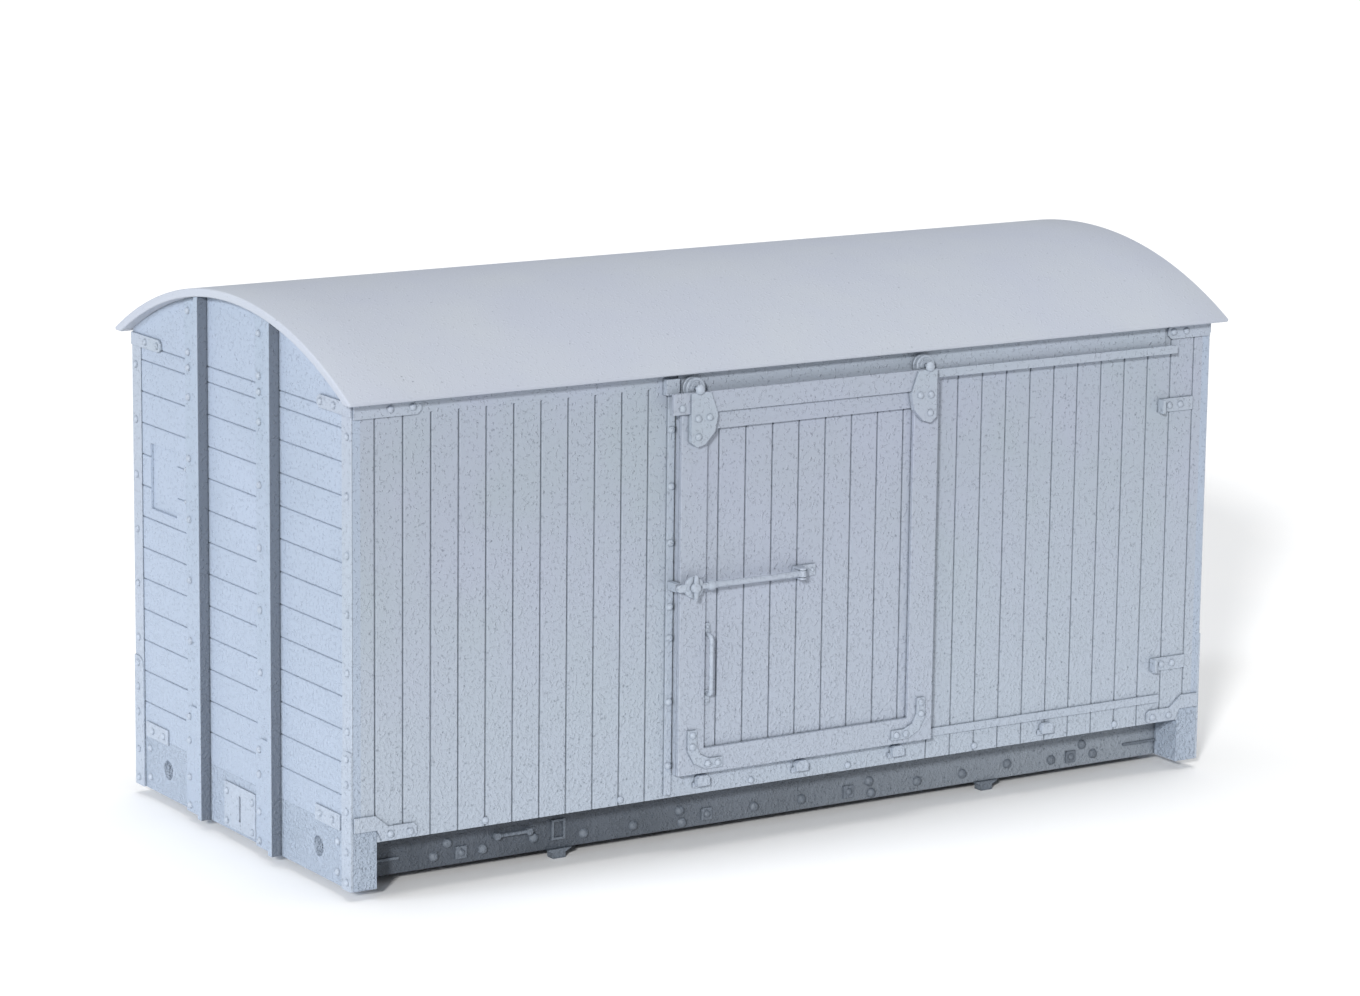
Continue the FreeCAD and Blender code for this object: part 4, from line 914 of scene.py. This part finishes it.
@dataclass
class PlankedEnd:
    """One end: planks laid flat under an arched top, with a shallow square hatch."""

    end: End
    base: float = 7.04
    half_width: float = 28.2
    inner: float = 60.25
    outer: float = 61.25
    arc_centre: float = 7.295
    arc_radius: float = 57.45
    pitch: float = 3.9
    count: int = 12
    last_rise: float = 1.9
    joint_reach: float = 25.9
    hatch: tuple[float, float, float, float] = (16.5, 23.6, 35.7, 43.85)
    hatch_depth: float = 0.32
    joint: VJoint = VJoint(width=0.24, depth=0.14)

    def joints(self) -> list[float]:
        """Heights of the plank joints above the feet, in mm."""
        levels = [self.base + self.pitch * step for step in range(1, self.count + 1)]
        return [level + REST_HEIGHT for level in [*levels, levels[-1] + self.last_rise]]

    def arch(self, across: float) -> float:
        """Height of the arched top above the feet, in mm.

        Args:
            across: distance from the centre line, in mm.

        Returns:
            The height in mm.
        """
        return REST_HEIGHT + arc_height(across, self.arc_centre, self.arc_radius)

    def sink(self, across: float, up: float) -> float:
        """Depth of the face below the plank tops at a point.

        Args:
            across: place across the end, in mm.
            up: height above the feet, in mm.

        Returns:
            The depth in mm.
        """
        left, right, low, high = self.hatch
        level = up - REST_HEIGHT
        if left + 0.04 < across < right - 0.04 and low + 0.04 < level < high - 0.04:
            return self.hatch_depth
        if abs(across) > self.joint_reach + 0.06:
            return 0.0
        return max(self.joint.depth_at(up - joint) for joint in self.joints())

    def build(self) -> bpy.types.Object:
        """Builds the end and dresses it.

        Returns:
            The piece.
        """
        left, right, low, high = self.hatch
        across = [-self.half_width, self.half_width, left, left + 0.05, right - 0.05, right]
        across += [side * (self.joint_reach + gap) for side in (-1, 1) for gap in (0.0, 0.05, 0.12)]
        across += [self.half_width * step / 24 for step in range(-23, 24)]
        levels = [edge + REST_HEIGHT for edge in (self.base, low, low + 0.05, high - 0.05, high)]
        for joint in self.joints():
            levels += self.joint.lines(joint)
        levels += [REST_HEIGHT + height for height in (58.5, 60.5, 62.5, 64.9)]
        shape = Shape()
        shape.relief(across, levels, lambda _across, _up: True, self.sink, self.outer, self.inner,
                     Facing.LEFT, self.arch)
        node = "end_panel_" + self.end.value
        return shape.finish("planked_end_" + self.end.value, node, ENDS, "plank_plastic",
                            self.end.turned, 12.0)


@dataclass
class RoofShell:
    """Plain arched roof, its eaves drawn down to a thin rounded lip and its ends softened."""

    half_length: float = 62.75
    half_width: float = 30.2
    centre: float = 7.295
    outer_radius: float = 58.485
    inner_radius: float = 57.45
    eave: float = 57.0
    lip: float = 0.17
    end_rounding: float = 0.22
    steps: int = 72

    def section(self, shrink: float) -> list[Point2]:
        """Outline of the roof across the van.

        Args:
            shrink: how far the outline is drawn in at the softened ends, in mm.

        Returns:
            Points across and up, in mm, once round.
        """
        outer = self.outer_radius - shrink
        inner = self.inner_radius + shrink
        wide = self.half_width - self.lip - shrink
        tilt = math.asin(wide / outer)
        points = [(outer * math.sin(turn), self.centre + outer * math.cos(turn))
                  for turn in (tilt * (2 * step / self.steps - 1) for step in range(self.steps + 1))]
        floor = self.eave + shrink
        end_high = points[-1][1]
        radius = (end_high - floor) / 2
        nose = [(wide + self.lip * math.sin(turn), floor + radius + radius * math.cos(turn))
                for turn in (math.pi * step / 6 for step in range(1, 7))]
        start = math.asin(math.sqrt(inner * inner - (floor - self.centre) ** 2) / inner)
        under = [(inner * math.sin(turn), self.centre + inner * math.cos(turn))
                 for turn in (start * (1 - 2 * step / self.steps) for step in range(self.steps + 1))]
        mirrored = [(-across, up) for across, up in reversed(nose)]
        return points + nose + under + mirrored

    def build(self) -> bpy.types.Object:
        """Builds the roof and dresses it.

        Returns:
            The piece.
        """
        shape = Shape()
        bm = shape.mesh
        turns = (math.pi / 2 * step / 4 for step in range(5))
        left = sorted((-self.half_length + self.end_rounding * (1 - math.cos(turn)),
                       self.end_rounding * (1 - math.sin(turn))) for turn in turns)
        middle = [(self.half_length * step / 8, 0.0) for step in range(-7, 8)]
        lengths = left + middle + [(-place, shrink) for place, shrink in reversed(left)]
        rings = [[bm.verts.new(Vector((along, across, up + REST_HEIGHT)) * MM)
                  for across, up in self.section(shrink)] for along, shrink in lengths]
        faces = shape.skin(rings)
        faces += [bm.faces.new(rings[0]), bm.faces.new(list(reversed(rings[-1])))]
        bmesh.ops.recalc_face_normals(bm, faces=faces)
        return shape.finish("arched_roof", "roof", ROOFING, "roof_plastic", False, 40.0)


@dataclass
class DomeHeads:
    """Moulded bolt and rivet heads: one domed head for every solid of a CAD node.

    Each head is a low skirt under a full dome.
    """

    node: str
    facing: Facing
    turned: bool = False
    dress: MouldedStyrene = IRONWORK

    def build(self) -> bpy.types.Object:
        """Builds all the heads of the node as one piece.

        Returns:
            The piece.
        """
        sign = -1.0 if self.turned else 1.0
        axis = Vector((0.0, -sign, 0.0)) if self.facing is Facing.FRONT else Vector((-sign, 0.0, 0.0))
        along = 1 if self.facing is Facing.FRONT else 0
        shape = Shape()
        for low, high in solids_of(self.node):
            middle = (low + high) / 2
            seat = middle.copy()
            seat[along] = high[along] if sign > 0 else low[along]
            radius = (high.z - low.z) / 2
            height = high[along] - low[along]
            if height > 1.0:
                shape.lathe(self._pin(radius, height), seat * MM, axis, 26)
            else:
                shape.lathe(self._head(radius, height), seat * MM, axis, 20)
        return shape.finish("domed_" + self.node, self.node, self.dress, "fitting_plastic", False, 50.0)

    def _head(self, radius: float, height: float) -> list[Point2]:
        """Profile of a head.

        Args:
            radius: radius at its foot, in mm.
            height: height of its crown, in mm.

        Returns:
            Radius and distance pairs from the foot to the crown.
        """
        skirt = [(0.0, 0.0), (radius, 0.0), (radius, height * 0.12)]
        dome = [(radius * 0.94 * math.cos(turn), height * (0.16 + 0.84 * math.sin(turn)))
                for turn in (math.pi / 2 * step / 7 for step in range(7))]
        return [*skirt, *dome, (0.0, height)]

    def _pin(self, radius: float, length: float) -> list[Point2]:
        """Profile of a roller pin with its domed head.

        Args:
            radius: radius of the head, in mm.
            length: whole length, in mm.

        Returns:
            Radius and distance pairs from the plain end to the crown.
        """
        head = 0.48
        shank = 0.25
        crown = [(across, length - head + rise) for across, rise in self._head(radius, head)[1:]]
        return [(0.0, 0.0), (shank - 0.04, 0.0), (shank, 0.04), (shank, length - head), *crown]


# ---------------------------------------------------------------- the sliding door

@dataclass
class DoorPanel:
    """Planked panel of the sliding door, V jointed between its stiles."""

    side: Side
    half_width: float = 18.4
    base: float = 8.45
    top: float = 53.3
    inner: float = 28.55
    outer: float = 29.3
    pitch: float = 3.78
    first_joint: float = -12.8
    count: int = 8
    joint_base: float = 11.5
    joint_top: float = 50.15
    joint: VJoint = VJoint()

    def sink(self, across: float, up: float) -> float:
        """Depth of the face below the plank tops at a point.

        Args:
            across: place along the door, in mm.
            up: height above the feet, in mm.

        Returns:
            The depth in mm.
        """
        if not self.joint_base - 0.06 < up - REST_HEIGHT < self.joint_top + 0.06:
            return 0.0
        return max(self.joint.depth_at(across - self.first_joint - self.pitch * step)
                   for step in range(self.count))

    def build(self) -> bpy.types.Object:
        """Builds the panel and dresses it.

        Returns:
            The piece.
        """
        across = [-self.half_width, self.half_width]
        for step in range(self.count):
            across += self.joint.lines(self.first_joint + self.pitch * step)
        levels = [self.base, self.joint_base - 0.12, self.joint_base - 0.05, self.joint_base,
                  20.0, 30.0, 40.0, self.joint_top, self.joint_top + 0.05, self.joint_top + 0.12, self.top]
        shape = Shape()
        shape.relief(across, [level + REST_HEIGHT for level in levels], lambda _across, _up: True,
                     self.sink, self.outer, self.inner, Facing.FRONT)
        node = "door_panel_" + self.side.value
        return shape.finish("planked_door_" + self.side.value, node, DOORS, "door_plastic",
                            self.side.turned, 12.0)


@dataclass
class Roller:
    """Two-flanged door roller, turned, with rolled flange edges and a recess round the bore."""

    side: Side
    mark: str
    back: float = 28.8
    front: float = 29.8
    flange: float = 1.3
    tread: float = 0.6
    flange_width: float = 0.25
    bore: float = 0.28

    def build(self) -> bpy.types.Object:
        """Builds the roller and dresses it.

        Returns:
            The piece.
        """
        node = f"roller_{self.side.value}_{self.mark}"
        low, high = node_box(node)
        middle = (low + high) / 2
        length = self.front - self.back
        edge = 0.07
        profile = [(self.bore, 0.0), (self.flange - edge, 0.0), (self.flange, edge),
                   (self.flange, self.flange_width - edge), (self.flange - edge, self.flange_width),
                   (self.tread + 0.06, self.flange_width + 0.02), (self.tread, self.flange_width + 0.08),
                   (self.tread, length - self.flange_width - 0.08),
                   (self.tread + 0.06, length - self.flange_width - 0.02),
                   (self.flange - edge, length - self.flange_width),
                   (self.flange, length - self.flange_width + edge),
                   (self.flange, length - edge), (self.flange - edge, length),
                   (self.flange - 0.3, length), (self.flange - 0.38, length - 0.07),
                   (0.72, length - 0.07), (0.66, length), (self.bore, length), (self.bore, 0.0)]
        sign = -1.0 if self.side is Side.FRONT else 1.0
        seat = Vector((middle.x, sign * self.back, middle.z)) * MM
        shape = Shape()
        shape.lathe(profile, seat, Vector((0.0, sign, 0.0)), 40)
        bmesh.ops.remove_doubles(shape.mesh, verts=shape.mesh.verts, dist=1e-7)
        return shape.finish("flanged_" + node, node, IRONWORK, "fitting_plastic", False, 40.0)


@dataclass
class GrabHandle:
    """Bent rod standing off the planks on two small riveted feet."""

    side: Side
    line: float = -14.25
    face: float = 29.3
    radius: float = 0.27
    bend: float = 0.55
    foot_half: float = 0.42
    foot_thickness: float = 0.22

    def build(self) -> bpy.types.Object:
        """Builds the handle and dresses it.

        Returns:
            The piece.
        """
        node = "grab_handle_" + self.side.value
        low, high = node_box(node)
        base, top = low.z + 1.4, high.z - 1.4
        out = max(abs(low.y), abs(high.y)) - self.radius
        bend = self.bend
        corner = [(bend * math.sin(turn), bend * math.cos(turn))
                  for turn in (math.pi / 2 * step / 6 for step in range(7))]
        path = [Vector((self.line, -self.face + 0.1, top))]
        path += [Vector((self.line, -out + bend - reach, top - bend + rise)) for reach, rise in corner]
        path += [Vector((self.line, -out + bend - reach, base + bend - rise))
                 for reach, rise in reversed(corner)]
        path.append(Vector((self.line, -self.face + 0.1, base)))
        shape = Shape()
        shape.rod([point * MM for point in path], self.radius, 16)
        for near, far in ((top - 0.45, top + 1.4), (base - 1.4, base + 0.45)):
            outline = rounded_box(self.line - self.foot_half, self.line + self.foot_half, near, far, 0.3)
            shape.plate(outline, self.face, self.face + self.foot_thickness, Facing.FRONT, 0.07)
        return shape.finish("bent_" + node, node, IRONWORK, "fitting_plastic", self.side.turned, 40.0)


@dataclass
class LatchBar:
    """Round bar from its hinge barrel to a flat eye whose tongue laps the staple."""

    side: Side
    level: float = 31.6
    axis: float = 30.8
    pivot: float = -1.7
    eye: float = -17.1
    eye_radius: float = 1.3
    eye_thickness: float = 0.45
    hole: float = 0.29
    rod_radius: float = 0.38
    barrel_radius: float = 0.5
    barrel_height: float = 0.8
    tongue_tip: float = -19.5
    tongue_half: float = 0.45

    def build(self) -> bpy.types.Object:
        """Builds the bar and dresses it.

        Returns:
            The piece.
        """
        node = "latch_bar_" + self.side.value
        height = self.level + REST_HEIGHT
        shape = Shape()
        upright = Vector((0.0, 0.0, 1.0))
        half = self.barrel_height / 2
        barrel = [(0.23, -half), (self.barrel_radius - 0.07, -half), (self.barrel_radius, -half + 0.07),
                  (self.barrel_radius, half - 0.07), (self.barrel_radius - 0.07, half), (0.23, half),
                  (0.23, -half)]
        shape.lathe(barrel, Vector((self.pivot, -self.axis, height)) * MM, upright, 24)
        start = self.pivot - self.barrel_radius + 0.12
        finish = self.eye + self.eye_radius - 0.3
        grip = [(0.0, 0.0), (self.rod_radius, 0.0), (self.rod_radius, 0.5), (self.rod_radius * 0.97, 6.0),
                (self.rod_radius, start - finish - 1.9), (self.rod_radius + 0.16, start - finish - 1.78),
                (self.rod_radius + 0.2, start - finish - 1.6), (self.rod_radius + 0.2, start - finish - 1.3),
                (self.rod_radius + 0.16, start - finish - 1.12), (self.rod_radius, start - finish - 1.0),
                (self.rod_radius * 0.9, start - finish), (0.0, start - finish)]
        shape.lathe(grip, Vector((start, -self.axis, height)) * MM, Vector((-1.0, 0.0, 0.0)), 22)
        back = self.axis - self.eye_thickness / 2
        front = self.axis + self.eye_thickness / 2
        shape.ring_plate(self._eye_outline(height), (self.eye, height), self.hole, back, front,
                         Facing.FRONT, 0.08)
        return shape.finish("round_" + node, node, IRONWORK, "fitting_plastic", self.side.turned, 40.0)

    def _eye_outline(self, height: float) -> list[Point2]:
        """Outline of the eye with its tongue, once round.

        Args:
            height: height of the bar above the feet, in mm.

        Returns:
            Points across and up, in mm.
        """
        open_turn = math.asin(self.tongue_half / self.eye_radius)
        span = 2 * math.pi - 2 * open_turn
        eye = [(self.eye - self.eye_radius * math.cos(open_turn + span * step / 32),
                height + self.eye_radius * math.sin(open_turn + span * step / 32)) for step in range(33)]
        middle = self.tongue_tip + self.tongue_half
        tip = [(middle - self.tongue_half * math.sin(turn), height - self.tongue_half * math.cos(turn))
               for turn in (math.pi * step / 10 for step in range(11))]
        return eye + tip


@dataclass
class LatchKey:
    """T-headed key: a turned shank and boss with a lozenge across them."""

    side: Side
    level: float = 31.6
    axis: float = 30.8
    place: float = -17.1
    eye_thickness: float = 0.45
    shank: float = 0.25
    boss: float = 0.62
    boss_depth: float = 0.65
    half_span: float = 1.55

    def build(self) -> bpy.types.Object:
        """Builds the key and dresses it.

        Returns:
            The piece.
        """
        node = "latch_key_" + self.side.value
        height = self.level + REST_HEIGHT
        back = self.axis - self.eye_thickness / 2
        head = self.axis + self.eye_thickness / 2 + 0.05
        length = head - back
        profile = [(0.0, 0.0), (self.shank, 0.0), (self.shank, length), (self.boss - 0.06, length),
                   (self.boss, length + 0.06), (self.boss, length + self.boss_depth - 0.22),
                   (self.boss - 0.1, length + self.boss_depth - 0.06),
                   (self.boss * 0.55, length + self.boss_depth),
                   (0.0, length + self.boss_depth)]
        shape = Shape()
        shape.lathe(profile, Vector((self.place, -back, height)) * MM, Vector((0.0, -1.0, 0.0)), 26)
        half = self.half_span
        outline = [(-0.2, -half + 0.2), (-0.08, -half), (0.08, -half), (0.2, -half + 0.2), (0.32, 0.0),
                   (0.2, half - 0.2), (0.08, half), (-0.08, half), (-0.2, half - 0.2), (-0.32, 0.0)]
        shape.plate([(self.place + across, height + up) for across, up in outline],
                    head + 0.15, head + 0.5, Facing.FRONT, 0.09)
        return shape.finish("tee_" + node, node, IRONWORK, "fitting_plastic", self.side.turned, 40.0)


# ---------------------------------------------------------------- studio

@dataclass(frozen=True)
class PaleFloor:
    """Matt white paper sheet: nearly white, with the faint cloudiness of uncoated paper."""

    name: str = "paper_sheet"
    tone: str = "#fdfdfd"
    shade: str = "#f9fafb"
    fibre_mm: float = 18.0

    def build(self) -> bpy.types.Material:
        """Makes the material.

        Returns:
            The Blender material.
        """
        material = bpy.data.materials.new(self.name)
        material.use_nodes = True
        tree = material.node_tree
        tree.nodes.clear()
        place = add_node(tree, "ShaderNodeTexCoord").outputs["Object"]
        noise = add_node(tree, "ShaderNodeTexNoise", {"Scale": 1000 / self.fibre_mm}, {"Vector": place})
        mix = add_node(tree, "ShaderNodeMix",
                       {"data_type": "RGBA", 6: srgb(self.tone), 7: srgb(self.shade)},
                       {0: noise.outputs[0]})
        shader = add_node(tree, "ShaderNodeBsdfPrincipled", {"Roughness": 0.9, "IOR": 1.45},
                          {"Base Color": mix.outputs[2]})
        add_node(tree, "ShaderNodeOutputMaterial", links={"Surface": shader.outputs[0]})
        return material


@dataclass
class SoftLight:
    """One far, broad light, so that the van and the paper round it are lit alike."""

    name: str
    source: tuple[float, float, float]
    strength: float
    spread: float
    tint: str = "#ffffff"

    def build(self) -> None:
        """Adds the light; strength is the brightness that it gives a white sheet facing it."""
        data = bpy.data.lights.new(self.name, "SUN")
        data.energy = self.strength * math.pi
        data.angle = math.radians(self.spread)
        data.color = srgb(self.tint)[:3]
        lamp = bpy.data.objects.new(self.name, data)
        bpy.context.scene.collection.objects.link(lamp)
        lamp.rotation_euler = (-Vector(self.source)).to_track_quat("-Z", "Y").to_euler()


@dataclass
class Studio:
    """Paper sheet, soft light and camera."""

    floor_span: float = 6.0
    camera_place: tuple[float, float, float] = (-0.30569, -0.48254, 0.15238)
    camera_turn: tuple[float, float, float] = (78.51451, -0.67266, -32.24963)
    lens_mm: float = 123.295
    sky_strength: float = 0.32

    def build(self) -> None:
        """Builds everything that isn't the van."""
        self._floor()
        self._sky()
        for light in (
            SoftLight("front_box", (-0.62, -0.64, 0.34), 0.86, 6.0, "#fffefc"),
            SoftLight("left_box", (-1.0, 0.25, 0.35), 0.36, 20.0, "#eff5ff"),
            SoftLight("top_box", (0.10, 0.05, 1.0), 0.46, 40.0, "#fffefb"),
        ):
            light.build()
        self._camera()
        settings = bpy.context.scene.view_settings
        settings.view_transform = "Standard"
        settings.look = "None"

    def _floor(self) -> None:
        """A large flat sheet at the level of the feet."""
        bm = bmesh.new()
        bmesh.ops.create_grid(bm, x_segments=24, y_segments=24, size=self.floor_span / 2)
        data = bpy.data.meshes.new("paper_sheet")
        bm.to_mesh(data)
        bm.free()
        data.shade_smooth()
        data.materials.append(PaleFloor().build())
        sheet = bpy.data.objects.new("paper_sheet", data)
        bpy.context.scene.collection.objects.link(sheet)

    def _sky(self) -> None:
        """Even white surroundings."""
        world = bpy.data.worlds.new("white_room")
        world.use_nodes = True
        backdrop = world.node_tree.nodes["Background"]
        backdrop.inputs["Color"].default_value = srgb("#fbfcff")
        backdrop.inputs["Strength"].default_value = self.sky_strength
        bpy.context.scene.world = world

    def _camera(self) -> None:
        """Long lens, looking at the front side and the left-hand end."""
        data = bpy.data.cameras.new("camera")
        data.lens = self.lens_mm
        data.sensor_width = 36.0
        data.clip_start = 0.01
        data.clip_end = 50.0
        camera = bpy.data.objects.new("camera", data)
        camera.location = self.camera_place
        camera.rotation_euler = [math.radians(turn) for turn in self.camera_turn]
        bpy.context.scene.collection.objects.link(camera)
        bpy.context.scene.camera = camera


def dress_frame(done: set[str]) -> None:
    """Gives every CAD node that stays its finish and softened edges.

    Args:
        done: names of the nodes that a purpose-made piece already stands for.
    """
    finishes = {"floor": (PLANKS, 0.08), "headstock": (HEADSTOCK, 0.09), "solebar": (UNDERFRAME, 0.09),
                "solebar_fittings": (UNDERFITTINGS, 0.05), "door_frame": (DOORS, 0.09),
                "end_stanchion_outer": (STANCHION, 0.08), "end_stanchion_inner": (STANCHION, 0.08)}
    for name in sorted(set(frame["nodes"]) - done):
        kind = name
        for word in ("_left", "_right", "_front", "_back"):
            kind = kind.replace(word, "")
        finish, edge = finishes.get(kind, (IRONWORK, 0.05))
        carry_over(name, finish, edge)
        LOG.info("dressed %s", name)


def report(piece: bpy.types.Object) -> None:
    """Reports one finished piece."""
    LOG.info("built %s", piece.name)


def main() -> None:
    """Builds the van and its studio."""
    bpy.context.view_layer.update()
    before = set(bpy.data.objects)
    report(RoofShell().build())
    for end in End:
        report(PlankedEnd(end).build())
        report(DomeHeads("end_bolts_" + end.value, Facing.LEFT, end.turned).build())
    for side in Side:
        report(PlankedSide(side).build())
        report(DomeHeads("side_bolts_" + side.value, Facing.FRONT, side.turned).build())
        report(DomeHeads("solebar_bolts_" + side.value, Facing.FRONT, side.turned, UNDERFITTINGS).build())
        report(DoorPanel(side).build())
        report(DomeHeads("door_bolts_" + side.value, Facing.FRONT, side.turned).build())
        report(GrabHandle(side).build())
        report(LatchBar(side).build())
        report(LatchKey(side).build())
        for mark in ("leading", "trailing"):
            report(Roller(side, mark).build())
    done = {node for piece in set(bpy.data.objects) - before for node in piece.get("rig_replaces", [])}
    dress_frame(done)
    Studio().build()


if __name__ == "__main__":
    logging.basicConfig(level=logging.INFO, format="%(message)s")
    main()
